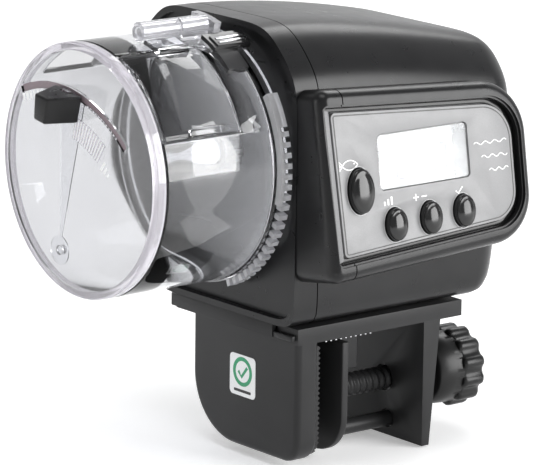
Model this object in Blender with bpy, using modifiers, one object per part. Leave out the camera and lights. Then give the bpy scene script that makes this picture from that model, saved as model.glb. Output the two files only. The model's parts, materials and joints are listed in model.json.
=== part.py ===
"""Automatic fish feeder: rotating food drum, control housing and tank-rim clamp.

The numbers below are millimetres in the feeder's own layout: x runs along the drum's axis
from the drum to the housing, y runs to the back, z runs up, and zero is the drum's axis at
its base ring. place() turns them into metres about the tank-rim stop, the face that the
feeder hangs by, so the finished model has its origin there.
"""
import math

import bmesh
import bpy
from mathutils import Matrix, Vector

MM = 0.001
RIM_STOP = Vector((16.0, -12.0, -41.3))   # the middle of the face that rests on the tank's rim
GAP = 0.3                                 # running and seating clearance

# Drum
DRUM_R = 31.0
DRUM_WALL = 1.5
DRUM_END = -35.1                          # outer face of the end cap
CAP_BACK = -32.2
BASE_BACK = 3.6
HINGE_R = 33.7
KNUCKLE_R = 2.4
HINGE_ANGLE = 80.0                        # from the front, towards the top
DOOR_LOW, DOOR_HIGH = 22.0, 70.0
DOOR_X0, DOOR_X1 = -31.0, -9.0
GATE_PIVOT = (9.0, -21.0)                 # y, z of the feed lever's pivot in the end cap
GATE_R = 40.1                             # radius of the arc slot
GATE_REST = 7.8                           # the knob's angle from upright, towards the front
SLOT_FROM, SLOT_TO = -21.0, 43.0

# Housing
HOUSING_X0, SEAM_X, HOUSING_X1 = 4.0, 11.0, 75.3
HOUSING_Y, HOUSING_Z = 4.0, 0.0           # centre of its sections
WALL = 2.0
END_RADIUS = 9.5
END_TILT = 0.12                           # the right end leans out towards the top
TOP_LEFT, TOP_FALL = 34.4, 7.3
FLOOR = 38.0

# Control panel: x across, v up the panel, w out of it
PANEL_Y = -44.0
PANEL_LEAN = math.radians(9.0)
BEZEL = [(4.2, 22.0), (68.8, 17.8), (68.8, -21.0), (4.2, -24.6)]
BEZEL_R = [3.0, 14.0, 12.0, 3.0]
OPENING = [(6.4, 17.6), (65.6, 13.9), (65.6, -17.0), (7.4, -20.2)]
OPENING_R = [1.0, 10.5, 8.5, 1.0]
PLATE = [(8.3, 16.3), (64.2, 12.6), (64.2, -15.7), (9.3, -18.8)]
PLATE_R = [1.5, 9.5, 7.5, 1.5]
CAVITY = [(7.4, 19.6), (66.6, 15.6), (66.6, -18.9), (7.4, -22.3)]
CAVITY_R = [2.0, 11.8, 9.8, 2.0]
LCD = (35.6, 2.7, 28.0, 13.0)             # centre x, v and size
BUTTONS = {"feed": (14.9, -3.2, 7.4, 11.4), "mode": (24.9, -12.5, 6.0, 7.8),
           "adjust": (35.9, -12.2, 6.0, 7.8), "set": (46.5, -11.9, 6.0, 7.8)}

# Drive
GEAR_MODULE = 0.8
DRUM_TEETH, IDLER_TEETH, PINION_TEETH = 36, 20, 10
IDLER_AT = (12.0, -18.9)
PINION_AT = (2.0, -25.5)
GEAR_X0, GEAR_X1 = 12.4, 16.0

# Batteries: two AA cells along x at the back
CELL_D, CELL_L = 14.0, 49.5
CELL_X0 = 16.0
CELL_Y = 31.0
CELL_Z = (5.6, -9.6)
DOORWAY_LOW = (15.0, 34.0, -17.5)
DOORWAY_HIGH = (66.0, 70.0, 13.5)

# Clamp
JAW_X0, JAW_X1 = 6.0, 13.4                # fixed jaw
JAW_BOTTOM = -72.4
MOVING_X0, MOVING_X1 = 20.0, 22.0         # moving jaw at rest
CLAMP_FRONT, CLAMP_BACK = -33.0, 8.4
RAIL_TOP, RAIL_BOTTOM, JAW_TOP = -38.3, -42.3, -43.6
SCREW_Y, SCREW_Z = -18.0, -59.5
ROD_Y, ROD_Z = -19.5, -69.7
BRACKET_SCREWS = [(24.0, 10.0), (42.0, 10.0)]


def place(x, y, z):
    """A point of the layout, in metres about the rim stop."""
    return (Vector((x, y, z)) - RIM_STOP) * MM


# ---------------------------------------------------------------- scene and materials

def clear_scene():
    for old in list(bpy.data.objects):
        bpy.data.objects.remove(old, do_unlink=True)


def new_collection(name):
    made = bpy.data.collections.new(name)
    bpy.context.scene.collection.children.link(made)
    return made


clear_scene()
PARTS = new_collection("fish_feeder")
CUTTERS = new_collection("cutters")

LOOKS = {
    "housing_black": ((0.025, 0.025, 0.027), 0.42, 0.0),
    "clamp_black": ((0.035, 0.035, 0.037), 0.5, 0.0),
    "knob_black": ((0.02, 0.02, 0.02), 0.45, 0.0),
    "clear_plastic": ((0.86, 0.88, 0.90), 0.08, 0.0),
    "smoked_tab": ((0.30, 0.31, 0.32), 0.3, 0.0),
    "button_black": ((0.01, 0.01, 0.01), 0.12, 0.0),
    "panel_grey": ((0.52, 0.52, 0.52), 0.45, 0.0),
    "panel_silver": ((0.45, 0.45, 0.46), 0.35, 0.6),
    "display": ((0.85, 0.88, 0.88), 0.15, 0.0),
    "board_green": ((0.02, 0.16, 0.06), 0.5, 0.0),
    "chip_black": ((0.02, 0.02, 0.02), 0.5, 0.0),
    "gear_white": ((0.78, 0.76, 0.70), 0.45, 0.0),
    "steel": ((0.60, 0.60, 0.62), 0.3, 1.0),
    "cell_wrap": ((0.10, 0.20, 0.35), 0.35, 0.2),
}


def material(name):
    found = bpy.data.materials.get(name)
    if found:
        return found
    colour, roughness, metallic = LOOKS[name]
    made = bpy.data.materials.new(name)
    made.use_nodes = True
    shader = made.node_tree.nodes["Principled BSDF"]
    shader.inputs["Base Color"].default_value = (*colour, 1.0)
    shader.inputs["Roughness"].default_value = roughness
    shader.inputs["Metallic"].default_value = metallic
    made.diffuse_color = (*colour, 1.0)
    return made


# ---------------------------------------------------------------- modelling helpers

def add_object(name, mesh, look=None, smooth=40.0):
    """Link a mesh as a part, or as a cutter where it has no look."""
    thing = bpy.data.objects.new(name, mesh)
    if look:
        PARTS.objects.link(thing)
        mesh.materials.append(material(look))
        mesh.shade_smooth()
        mesh.set_sharp_from_angle(angle=math.radians(smooth))
    else:
        CUTTERS.objects.link(thing)
        thing.hide_render = True
        thing.display_type = "WIRE"
    return thing


def mesh_from(bm, name):
    bmesh.ops.recalc_face_normals(bm, faces=bm.faces)
    mesh = bpy.data.meshes.new(name)
    bm.to_mesh(mesh)
    bm.free()
    return mesh


def tool(thing, other, operation):
    step = thing.modifiers.new(other.name, "BOOLEAN")
    step.operation = operation
    step.solver = "EXACT"
    step.object = other


def cut(thing, *others):
    for other in others:
        tool(thing, other, "DIFFERENCE")
    return thing


def join(thing, *others):
    for other in others:
        tool(thing, other, "UNION")
    return thing


def soften(thing, width, segments=2, angle=35.0):
    bevel = thing.modifiers.new("edges", "BEVEL")
    bevel.width = width * MM
    bevel.segments = segments
    bevel.limit_method = "ANGLE"
    bevel.angle_limit = math.radians(angle)
    return thing


def box(name, low, high, look=None):
    """A block between two corners of the layout."""
    bm = bmesh.new()
    bmesh.ops.create_cube(bm, size=1.0)
    size = (Vector(high) - Vector(low)) * MM
    bmesh.ops.scale(bm, vec=size, verts=bm.verts)
    thing = add_object(name, mesh_from(bm, name), look)
    thing.location = place(*((Vector(low) + Vector(high)) / 2))
    return thing


def cylinder(name, start, end, radius, look=None, segments=24, end_radius=None):
    """A round bar, or a cone where end_radius is given, between two points."""
    first, last = Vector(start), Vector(end)
    bm = bmesh.new()
    bmesh.ops.create_cone(bm, cap_ends=True, segments=segments, radius1=radius * MM,
                          radius2=(radius if end_radius is None else end_radius) * MM,
                          depth=(last - first).length * MM)
    thing = add_object(name, mesh_from(bm, name), look)
    thing.rotation_euler = (last - first).to_track_quat("Z", "Y").to_euler()
    thing.location = place(*((first + last) / 2))
    return thing


def extrude_outline(name, points, depth, look=None):
    """A flat outline in the object's own xy plane, raised along its z by depth."""
    bm = bmesh.new()
    ring = [bm.verts.new((x * MM, y * MM, 0.0)) for x, y in points]
    face = bm.faces.new(ring)
    grown = bmesh.ops.extrude_face_region(bm, geom=[face])
    lifted = [item for item in grown["geom"] if isinstance(item, bmesh.types.BMVert)]
    bmesh.ops.translate(bm, vec=(0.0, 0.0, depth * MM), verts=lifted)
    return add_object(name, mesh_from(bm, name), look)


def plate_x(name, points, x0, x1, look=None):
    """A (y, z) outline, raised along x from x0 to x1."""
    thing = extrude_outline(name, points, x1 - x0, look)
    thing.matrix_world = Matrix(((0, 0, 1, 0), (1, 0, 0, 0), (0, 1, 0, 0), (0, 0, 0, 1)))
    thing.matrix_world.translation = place(x0, 0.0, 0.0)
    return thing


def plate_y(name, points, y0, y1, look=None):
    """An (x, z) outline, raised along y from y0 to y1."""
    thing = extrude_outline(name, points, y1 - y0, look)
    thing.matrix_world = Matrix(((1, 0, 0, 0), (0, 0, -1, 0), (0, 1, 0, 0), (0, 0, 0, 1)))
    thing.matrix_world.translation = place(0.0, y1, 0.0)
    return thing


def panel_place(x, v, w):
    """A point of the control panel in the layout."""
    lean_s, lean_c = math.sin(PANEL_LEAN), math.cos(PANEL_LEAN)
    return (x, PANEL_Y + v * lean_s - w * lean_c, v * lean_c + w * lean_s)


def on_panel(thing, x=0.0, v=0.0, w=0.0):
    thing.location = place(*panel_place(x, v, w))
    thing.rotation_euler = (math.pi / 2 - PANEL_LEAN, 0.0, 0.0)
    return thing


def panel_prism(name, points, w0, w1, look=None):
    """An (x, v) outline on the control panel, from w0 to w1."""
    return on_panel(extrude_outline(name, points, w1 - w0, look), w=w0)


def turned(name, profile, x, look=None, steps=64, y=0.0, z=0.0):
    """A ring turned about an axis along x. The closed profile lists (radius, height) with the
    height along x, down the outer side and back up the inner side."""
    bm = bmesh.new()
    corners = [bm.verts.new((r * MM, 0.0, h * MM)) for r, h in profile]
    for one, two in zip(corners, corners[1:] + corners[:1]):
        bm.edges.new((one, two))
    mesh = bpy.data.meshes.new(name)
    bm.to_mesh(mesh)
    bm.free()
    thing = add_object(name, mesh, look)
    screw = thing.modifiers.new("turn", "SCREW")
    screw.steps = steps
    screw.render_steps = steps
    screw.use_merge_vertices = True
    screw.merge_threshold = 0.00001
    screw.use_smooth_shade = True
    thing.matrix_world = Matrix(((0, 0, 1, 0), (0, 1, 0, 0), (-1, 0, 0, 0), (0, 0, 0, 1)))
    thing.matrix_world.translation = place(x, y, z)
    return thing


def tube(name, points, radius, look):
    """A wire through the given points, as a welded mesh."""
    curve = bpy.data.curves.new(name, "CURVE")
    curve.dimensions = "3D"
    curve.bevel_depth = radius * MM
    curve.bevel_resolution = 1
    curve.use_fill_caps = True
    spline = curve.splines.new("POLY")
    spline.points.add(len(points) - 1)
    for slot, point in zip(spline.points, points):
        slot.co = (*place(*point), 1.0)
    guide = bpy.data.objects.new(name + "_path", curve)
    CUTTERS.objects.link(guide)
    bpy.context.view_layer.update()
    mesh = bpy.data.meshes.new_from_object(guide.evaluated_get(bpy.context.evaluated_depsgraph_get()))
    bpy.data.objects.remove(guide, do_unlink=True)
    bm = bmesh.new()
    bm.from_mesh(mesh)
    bmesh.ops.remove_doubles(bm, verts=bm.verts, dist=0.00001)
    bmesh.ops.recalc_face_normals(bm, faces=bm.faces)
    bm.to_mesh(mesh)
    bm.free()
    mesh.materials.clear()
    return add_object(name, mesh, look)


# ---------------------------------------------------------------- outlines

def arc(centre, radius, start, end, steps):
    """Points on an arc. Angles are degrees from the first axis towards the second."""
    points = []
    for i in range(steps + 1):
        angle = math.radians(start + (end - start) * i / steps)
        points.append((centre[0] + radius * math.cos(angle), centre[1] + radius * math.sin(angle)))
    return points


def ellipse(centre, size, steps=28):
    points = arc((0.0, 0.0), 1.0, 0.0, 360.0, steps)[:-1]
    return [(centre[0] + a * size[0] / 2, centre[1] + b * size[1] / 2) for a, b in points]


def rounded(corners, radii, steps=6):
    """A polygon with each corner replaced by an arc of its radius."""
    points = []
    count = len(corners)
    for i, radius in enumerate(radii):
        here = Vector(corners[i])
        before = (Vector(corners[i - 1]) - here).normalized()
        after = (Vector(corners[(i + 1) % count]) - here).normalized()
        half = before.angle(after) / 2
        if radius <= 0.0:
            points.append(tuple(here))
            continue
        centre = here + (before + after).normalized() * (radius / math.sin(half))
        first = here + before * (radius / math.tan(half)) - centre
        last = here + after * (radius / math.tan(half)) - centre
        turn = first.angle_signed(last)
        for k in range(steps + 1):
            step = first.copy()
            step.rotate(Matrix.Rotation(-turn * k / steps, 2))
            points.append(tuple(centre + step))
    return points


def rounded_box(centre, size, radius, steps=4):
    x, y = centre
    w, h = size[0] / 2, size[1] / 2
    return rounded([(x - w, y - h), (x + w, y - h), (x + w, y + h), (x - w, y + h)],
                   [radius] * 4, steps)


def drum_point(angle, radius):
    """(y, z) at an angle from the front towards the top, about the drum's axis."""
    return (-radius * math.cos(math.radians(angle)), radius * math.sin(math.radians(angle)))


def drum_sector(low, high, inner, outer, steps):
    """Outline in (y, z) of a piece of the drum's wall."""
    angles = [low + (high - low) * i / steps for i in range(steps + 1)]
    return ([drum_point(a, outer) for a in angles]
            + [drum_point(a, inner) for a in reversed(angles)])


def gate_point(angle, radius):
    """(y, z) at an angle from upright towards the front, about the feed lever's pivot."""
    turn = math.radians(angle)
    return (GATE_PIVOT[0] - radius * math.sin(turn), GATE_PIVOT[1] + radius * math.cos(turn))


def gate_sector(low, high, inner, outer, steps):
    angles = [low + (high - low) * i / steps for i in range(steps + 1)]
    return ([gate_point(a, outer) for a in angles]
            + [gate_point(a, inner) for a in reversed(angles)])


def gear_outline(teeth, first_angle):
    """A spur gear in (y, z): trapezoid teeth, thinned by the running clearance. One tooth
    points along first_angle (degrees from +y towards +z)."""
    pitch_r = GEAR_MODULE * teeth / 2
    tip_r = pitch_r + 0.85 * GEAR_MODULE
    root_r = pitch_r - 1.15 * GEAR_MODULE
    pitch_half = (math.pi * GEAR_MODULE / 4 - 0.16) / pitch_r
    slope = math.tan(math.radians(20.0))
    tip_half = pitch_half - slope * (tip_r - pitch_r) / pitch_r
    root_half = pitch_half + slope * (pitch_r - root_r) / pitch_r
    points = []
    for i in range(teeth):
        mid = math.radians(first_angle) + 2 * math.pi * i / teeth
        for half, radius in ((-root_half, root_r), (-tip_half, tip_r),
                             (tip_half, tip_r), (root_half, root_r)):
            points.append((radius * math.cos(mid + half), radius * math.sin(mid + half)))
    return points


# ---------------------------------------------------------------- housing

def housing_outline(x, inset, count=56):
    """The housing's section at x: a polygon of support planes, smoothed by a power mean."""
    fall = max(0.0, (x - 8.0) / 54.0) ** 1.6
    supports = [(180.0, HOUSING_Y + 34.0), (135.0, 42.6 - 4.0 * fall),
                (90.0, TOP_LEFT - TOP_FALL * fall), (45.0, 34.6 - 0.8 * fall),
                (0.0, 42.0 - 4.0 * fall), (315.0, 38.7 - 2.5 * fall), (270.0, FLOOR)]
    start = HOUSING_X1 - END_RADIUS
    if x > start:
        reach = min(1.0, (x - start) / END_RADIUS)
        inset = inset + END_RADIUS * (1.0 - math.sqrt(1.0 - reach * reach))
    power = 20.0
    points = []
    for i in range(count):
        turn = 2 * math.pi * i / count
        total = 0.0
        for angle, distance in supports:
            toward = math.cos(turn - math.radians(angle))
            if toward > 0.0:
                total += (toward / (distance - inset)) ** power
        radius = total ** (-1.0 / power)
        points.append((HOUSING_Y + radius * math.cos(turn), HOUSING_Z + radius * math.sin(turn)))
    return points


def lofted(name, stations, inset, look=None, count=56):
    """A closed solid through the housing's sections at the given x."""
    bm = bmesh.new()
    rings = []
    for x in stations:
        lean = END_TILT * x / HOUSING_X1
        rings.append([bm.verts.new(place(x + lean * z, y, z))
                      for y, z in housing_outline(x, inset, count)])
    for near, far in zip(rings, rings[1:]):
        for i in range(count):
            j = (i + 1) % count
            bm.faces.new((near[i], near[j], far[j], far[i]))
    bm.faces.new(rings[0])
    bm.faces.new(rings[-1])
    return add_object(name, mesh_from(bm, name), look)


def end_stations(first, last, radius):
    """Stations that follow the rounded right end."""
    start = last - radius
    body = [first, 14.0, 24.0, 34.0, 44.0, 54.0, 60.0]
    bend = [start + radius * math.sin(math.radians(a)) for a in (0, 22, 42, 60, 75, 86)]
    return [x for x in body if x < start - 2.0] + bend


def housing_body(name, look):
    """The whole hollow housing with its control bezel, before it is split at the seam."""
    body = lofted(name, end_stations(HOUSING_X0, HOUSING_X1, END_RADIUS), 0.0, look)
    inner = lofted(name + "_inner", end_stations(HOUSING_X0 + 3.5, HOUSING_X1 - WALL,
                                                 END_RADIUS), WALL)
    bezel = panel_prism(name + "_bezel", rounded(BEZEL, BEZEL_R), -17.0, 1.2)
    soften(bezel, 2.4, 3, 60.0)
    hollow = panel_prism(name + "_hollow", rounded(CAVITY, CAVITY_R), -22.0, -1.8)
    opening = panel_prism(name + "_opening", rounded(OPENING, OPENING_R), -3.0, 4.0)
    pocket = plate_x(name + "_pocket", housing_outline(HOUSING_X0, 1.6), 0.0, 5.5)
    spindle_hole = cylinder(name + "_spindle_hole", (0.0, 0.0, 0.0), (12.0, 0.0, 0.0), 5.2,
                            segments=32)
    return cut(join(body, bezel), inner, hollow, opening, pocket, spindle_hole)


def left_shell():
    shell = housing_body("left_shell", "housing_black")
    beyond = box("beyond_seam", (SEAM_X - GAP / 2, -80.0, -80.0), (120.0, 80.0, 80.0))
    return cut(shell, beyond)


def main_shell():
    shell = housing_body("main_shell", "housing_black")
    away = box("before_seam", (-20.0, -80.0, -80.0), (SEAM_X + GAP / 2, 80.0, 80.0))
    for i, (x, y) in enumerate(BRACKET_SCREWS):
        cut(shell, cylinder("floor_bore_%d" % i, (x, y, -44.0), (x, y, -30.0), 1.35, None, 12))
    return cut(shell, away, box("doorway", DOORWAY_LOW, DOORWAY_HIGH))


# ---------------------------------------------------------------- drum

def drum_tube():
    inner = DRUM_R - DRUM_WALL
    length = -0.3 - (CAP_BACK + GAP)
    wall = turned("drum_tube", [(DRUM_R, length), (DRUM_R, 0.0), (inner, 0.0), (inner, length)],
                  CAP_BACK + GAP, "clear_plastic", 72)
    door_hole = plate_x("door_hole", drum_sector(DOOR_LOW - 0.6, DOOR_HIGH + 0.6, 24.0, 36.0, 10),
                        DOOR_X0 - GAP - 1.5, DOOR_X1 + GAP)
    outlet = plate_x("outlet_hole", drum_sector(112.0, 138.0, 24.0, 36.0, 6), -29.0, -14.0)
    lug_y, lug_z = drum_point(HINGE_ANGLE, HINGE_R)
    knuckle = cylinder("tube_knuckle", (-10.4, lug_y, lug_z), (-2.4, lug_y, lug_z), KNUCKLE_R,
                       None, 20)
    lug = plate_x("tube_lug", drum_sector(73.0, 88.0, 29.8, 35.6, 4), -2.6, -0.6)
    foot = plate_x("knuckle_foot", drum_sector(76.0, 84.0, 30.2, 32.6, 3), -10.3, -1.0)
    bore = cylinder("tube_bore", (-12.0, lug_y, lug_z), (-1.2, lug_y, lug_z), 1.3, None, 16)
    return cut(join(cut(wall, door_hole, outlet), foot, knuckle, lug), bore)


def drum_door():
    """The curved filling lid with its hinge leaf and barrel."""
    low, high = DOOR_LOW, DOOR_HIGH
    lid = plate_x("drum_door", drum_sector(low, high, DRUM_R - DRUM_WALL, DRUM_R, 10),
                  DOOR_X0, DOOR_X1, "clear_plastic")
    pin_y, pin_z = drum_point(HINGE_ANGLE, HINGE_R)
    barrel = cylinder("door_barrel", (-22.0, pin_y, pin_z), (-10.9, pin_y, pin_z), KNUCKLE_R,
                      None, 20)
    leaf = plate_x("door_leaf", drum_sector(66.0, 79.0, DRUM_R + GAP, 32.6, 5), -21.0, -11.9)
    riser = plate_x("leaf_riser", drum_sector(65.0, 69.0, 30.4, 32.4, 2), -20.8, -12.1)
    bore = cylinder("door_bore", (-23.0, pin_y, pin_z), (-9.0, pin_y, pin_z), 1.3, None, 16)
    catch = plate_x("door_catch", drum_sector(low + 0.4, low + 3.4, 30.6, 31.9, 2), -24.0, -15.0)
    return cut(join(lid, riser, leaf, barrel, catch), bore)


def drum_end_cap():
    """The clear end cap: a flat face, a rim and the feed lever's arc slot."""
    rim_in = DRUM_R - 1.9
    depth = CAP_BACK - DRUM_END
    cap = turned("drum_end_cap", [(DRUM_R, depth), (DRUM_R, 0.4), (DRUM_R - 0.4, 0.0),
                                  (0.0, 0.0), (0.0, 1.3), (rim_in, 1.3), (rim_in, depth)],
                 DRUM_END, "clear_plastic", 72)
    slot = plate_x("lever_slot", gate_sector(SLOT_FROM, SLOT_TO, GATE_R - 0.95, GATE_R + 0.95, 24),
                   DRUM_END - 2.0, DRUM_END + 4.0)
    pin_hole = cylinder("pin_hole", (DRUM_END - 2.0, *GATE_PIVOT), (DRUM_END + 4.0, *GATE_PIVOT),
                        1.3, None, 16)
    return cut(cap, slot, pin_hole)


def drum_base():
    """The base disc with its grip ring, ridged along the front, and the drive hub."""
    disc = turned("drum_base", [(31.5, BASE_BACK), (31.5, 0.0), (0.0, 0.0), (0.0, 2.0),
                                (29.5, 2.0), (29.5, BASE_BACK)], 0.0, "clear_plastic", 72)
    hub = cylinder("base_hub", (1.0, 0.0, 0.0), (7.5, 0.0, 0.0), 4.6, None, 24)
    socket = cylinder("base_socket", (3.2, 0.0, 0.0), (10.0, 0.0, 0.0), 3.35, None, 24)
    ridges = []
    pitch = 5.0
    for i in range(22):
        angle = 33.0 - pitch * i
        ridge = plate_x("ridge_%02d" % i, drum_sector(angle - pitch / 4, angle + pitch / 4,
                                                      31.0, 33.1, 1), 0.9, BASE_BACK - 0.1)
        ridges.append(ridge)
    return cut(join(disc, hub, *ridges), socket)


def feed_gate():
    """The feed lever inside the end cap: a sector plate on its pivot, with the knob's post."""
    x0 = DRUM_END + 1.3 + GAP
    arm = plate_x("feed_gate", [gate_point(GATE_REST + 6.0, 3.0), gate_point(GATE_REST + 7.0, 30.0)]
                  + gate_sector(GATE_REST - 7.0, GATE_REST + 7.0, 30.0, 40.9, 4)[0:5][::-1]
                  + [gate_point(GATE_REST - 7.0, 30.0), gate_point(GATE_REST - 6.0, 3.0)],
                  x0, x0 + 1.1, "clear_plastic")
    boss = cylinder("gate_boss", (x0 + 0.02, *GATE_PIVOT), (x0 + 2.0, *GATE_PIVOT), 3.6, None, 24)
    bore = cylinder("gate_bore", (x0 - 1.0, *GATE_PIVOT), (x0 + 4.0, *GATE_PIVOT), 1.3, None, 16)
    post = plate_x("gate_post", gate_sector(GATE_REST - 2.2, GATE_REST + 2.2, GATE_R - 0.6,
                                            GATE_R + 0.6, 2), DRUM_END - 1.6, x0 + 0.6)
    return cut(join(arm, boss, post), bore)


def slider_knob():
    """The feed lever's knob: a block that narrows away from the end cap."""
    x_base, x_tip = DRUM_END - GAP, DRUM_END - 9.0
    base = [gate_point(GATE_REST + 7.7, 34.0), gate_point(GATE_REST - 7.7, 34.0),
            gate_point(GATE_REST - 7.7, 40.9), gate_point(GATE_REST + 7.7, 40.9)]
    tip = [gate_point(GATE_REST + 4.6, 33.9), gate_point(GATE_REST - 2.8, 33.9),
           gate_point(GATE_REST - 2.8, 40.3), gate_point(GATE_REST + 4.6, 40.3)]
    bm = bmesh.new()
    rings = [[bm.verts.new(place(x, y, z)) for y, z in ring]
             for x, ring in ((x_base, base), (x_tip, tip))]
    bm.faces.new(rings[0])
    bm.faces.new(rings[1])
    bmesh.ops.bridge_loops(bm, edges=[e for e in bm.edges])
    knob = add_object("slider_knob", mesh_from(bm, "slider_knob"), "knob_black")
    soften(knob, 0.5)
    socket = plate_x("knob_socket", gate_sector(GATE_REST - 2.6, GATE_REST + 2.6, GATE_R - 0.92,
                                                GATE_R + 0.92 - 0.02, 2),
                     DRUM_END - 2.0, DRUM_END + 2.0)
    return cut(knob, socket)


def drum_fittings():
    pin_y, pin_z = drum_point(HINGE_ANGLE, HINGE_R)
    cylinder("door_hinge_pin", (-21.8, pin_y, pin_z), (-1.5, pin_y, pin_z), 1.0, "steel", 16)
    x0 = DRUM_END + 0.2
    cylinder("gate_pivot_pin", (x0, *GATE_PIVOT), (x0 + 3.4, *GATE_PIVOT), 1.0, "clear_plastic", 16)
    tab = plate_x("drum_lock_tab", drum_sector(60.0, 70.0, 32.9, 34.0, 3), -7.5, 3.2,
                  "smoked_tab")
    stem = plate_x("tab_stem", drum_sector(49.0, 62.0, 31.35, 33.2, 4), -7.0, -1.0)
    ribs = [plate_x("tab_rib_%d" % i, drum_sector(60.6 + 3.4 * i, 62.4 + 3.4 * i, 33.8, 34.6, 1),
                    -2.6, 3.0) for i in range(3)]
    join(tab, stem, *ribs)


# ---------------------------------------------------------------- control panel

def button(name, centre, size):
    """A domed oval button that slides in its guide hole."""
    x, v = centre
    body = panel_prism("button_" + name, ellipse(centre, size), -2.9, 2.4, "button_black")
    soften(body, 0.8, 2)
    flange = panel_prism(name + "_flange", ellipse(centre, (size[0] + 1.6, size[1] + 1.6)),
                         -4.6, -3.5)
    stem = panel_prism(name + "_stem", rounded_box((x, v), (2.4, 2.4), 0.4, 2), -4.9, -2.5)
    join(body, flange, stem)
    return body


def control_panel():
    trim = panel_prism("panel_trim", rounded([(6.7, 17.3), (65.3, 13.6), (65.3, -16.7),
                                              (7.7, -19.9)], [0.8, 10.2, 8.2, 0.8]),
                       -1.5, 0.25, "panel_silver")
    cut(trim, panel_prism("trim_hole", rounded(PLATE, PLATE_R), -4.0, 4.0))
    plate = panel_prism("panel_plate", rounded([(8.6, 16.0), (63.9, 12.3), (63.9, -15.4),
                                                (9.6, -18.5)], [1.2, 9.2, 7.2, 1.2]),
                        -2.4, 0.0, "panel_grey")
    flange = panel_prism("plate_flange", rounded([(8.0, 18.0), (65.6, 14.2), (65.6, -17.4),
                                                  (8.0, -20.8)], [1.5, 10.5, 8.5, 1.5]),
                         -3.2, -2.1)
    join(plate, flange)
    for name, (x, v, width, height) in BUTTONS.items():
        cut(plate, panel_prism(name + "_hole", ellipse((x, v), (width + 0.6, height + 0.6)),
                               -6.0, 4.0))
    x, v, width, height = LCD
    cut(plate, panel_prism("lcd_hole", rounded_box((x, v), (width + 0.6, height + 0.6), 1.2),
                           -6.0, 4.0))
    panel_prism("lcd_window", rounded_box((x, v), (width, height), 0.9), -2.6, -0.1,
                "clear_plastic")
    for name, (x, v, width, height) in BUTTONS.items():
        button(name, (x, v), (width, height))


def electronics():
    x, v, width, height = LCD
    panel_prism("lcd_display", rounded_box((x, v), (width + 3.0, height + 3.0), 0.4, 2),
                -6.0, -3.6, "display")
    board = panel_prism("circuit_board", rounded([(12.0, 9.5), (55.0, 9.5), (55.0, -16.5),
                                                  (12.0, -16.5)], [1.0] * 4, 3),
                        -9.4, -7.8, "board_green")
    soften(board, 0.15, 1)
    panel_prism("display_connector", rounded_box((x, v - 5.0), (24.0, 2.0), 0.2, 1), -7.5, -6.3,
                "chip_black")
    for name, (bx, bv, _, _) in BUTTONS.items():
        cap = panel_prism("switch_" + name, rounded_box((bx, bv), (4.6, 4.6), 0.4, 2),
                          -7.5, -6.5, "chip_black")
        join(cap, panel_prism(name + "_plunger", ellipse((bx, bv), (2.0, 2.0), 12), -6.7, -6.2))
    panel_prism("control_chip", rounded_box((34.0, -3.0), (10.0, 10.0), 0.3, 1), -11.4, -9.7,
                "chip_black")
    panel_prism("clock_crystal", rounded_box((48.0, -8.0), (6.0, 2.2), 1.0, 2), -11.6, -9.7,
                "steel")


# ---------------------------------------------------------------- drive

def gear(name, centre, teeth, first_angle, bore, look="gear_white"):
    wheel = plate_x(name, gear_outline(teeth, first_angle), GEAR_X0, GEAR_X1, look)
    wheel.location = place(GEAR_X0, *centre)
    cut(wheel, cylinder(name + "_bore", (GEAR_X0 - 2.0, *centre), (GEAR_X1 + 2.0, *centre),
                        bore, None, 16))
    return wheel


def bearing_to(start, end):
    """The direction from one (y, z) centre to another, in degrees from +y towards +z."""
    return math.degrees(math.atan2(end[1] - start[1], end[0] - start[0]))


def drive_train():
    drum_at = (0.0, 0.0)
    first = bearing_to(drum_at, IDLER_AT)
    gear("drum_gear", drum_at, DRUM_TEETH, first, 3.3)
    back = first + 180.0
    idler_phase = back + 180.0 / IDLER_TEETH
    gear("idler_gear", IDLER_AT, IDLER_TEETH, idler_phase, 1.3)
    second = bearing_to(IDLER_AT, PINION_AT)
    pitch = 360.0 / IDLER_TEETH
    offset = (second - idler_phase) % pitch
    pinion_phase = second + 180.0 + (0.5 - offset / pitch) * -360.0 / PINION_TEETH
    gear("motor_pinion", PINION_AT, PINION_TEETH, pinion_phase, 1.3)
    cylinder("drum_spindle", (3.6, 0.0, 0.0), (19.6, 0.0, 0.0), 3.0, "steel", 24)
    cylinder("idler_axle", (8.0, *IDLER_AT), (19.7, *IDLER_AT), 1.0, "steel", 16)
    cylinder("motor_shaft", (8.4, *PINION_AT), (20.6, *PINION_AT), 1.0, "steel", 16)
    turned("spindle_bush", [(4.9, 4.0), (4.9, 0.0), (3.3, 0.0), (3.3, 4.0)], 7.9, "gear_white", 32)
    plate = plate_x("gear_plate", rounded([(-9.0, 11.0), (-9.0, -33.0), (18.0, -33.0),
                                           (20.0, 11.0)], [3.0] * 4), 16.4, 18.2, "housing_black")
    for name, centre, radius in (("plate_spindle", drum_at, 3.3), ("plate_idler", IDLER_AT, 1.3),
                                 ("plate_shaft", PINION_AT, 1.3)):
        cut(plate, cylinder(name, (15.0, *centre), (20.0, *centre), radius, None, 20))
    box("gearhead", (20.9, -5.0, -33.0), (28.0, 9.0, -18.0), "gear_white")
    cylinder("drive_motor", (28.3, *PINION_AT), (50.0, *PINION_AT), 7.4, "steel", 28)


def home_switch():
    """The switch that stops the drum after one turn."""
    box("home_switch", (18.6, -14.0, 14.0), (25.0, -1.0, 20.0), "chip_black")
    box("switch_lever", (18.9, -13.0, 20.3), (24.6, 1.5, 20.7), "steel")


# ---------------------------------------------------------------- batteries

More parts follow.
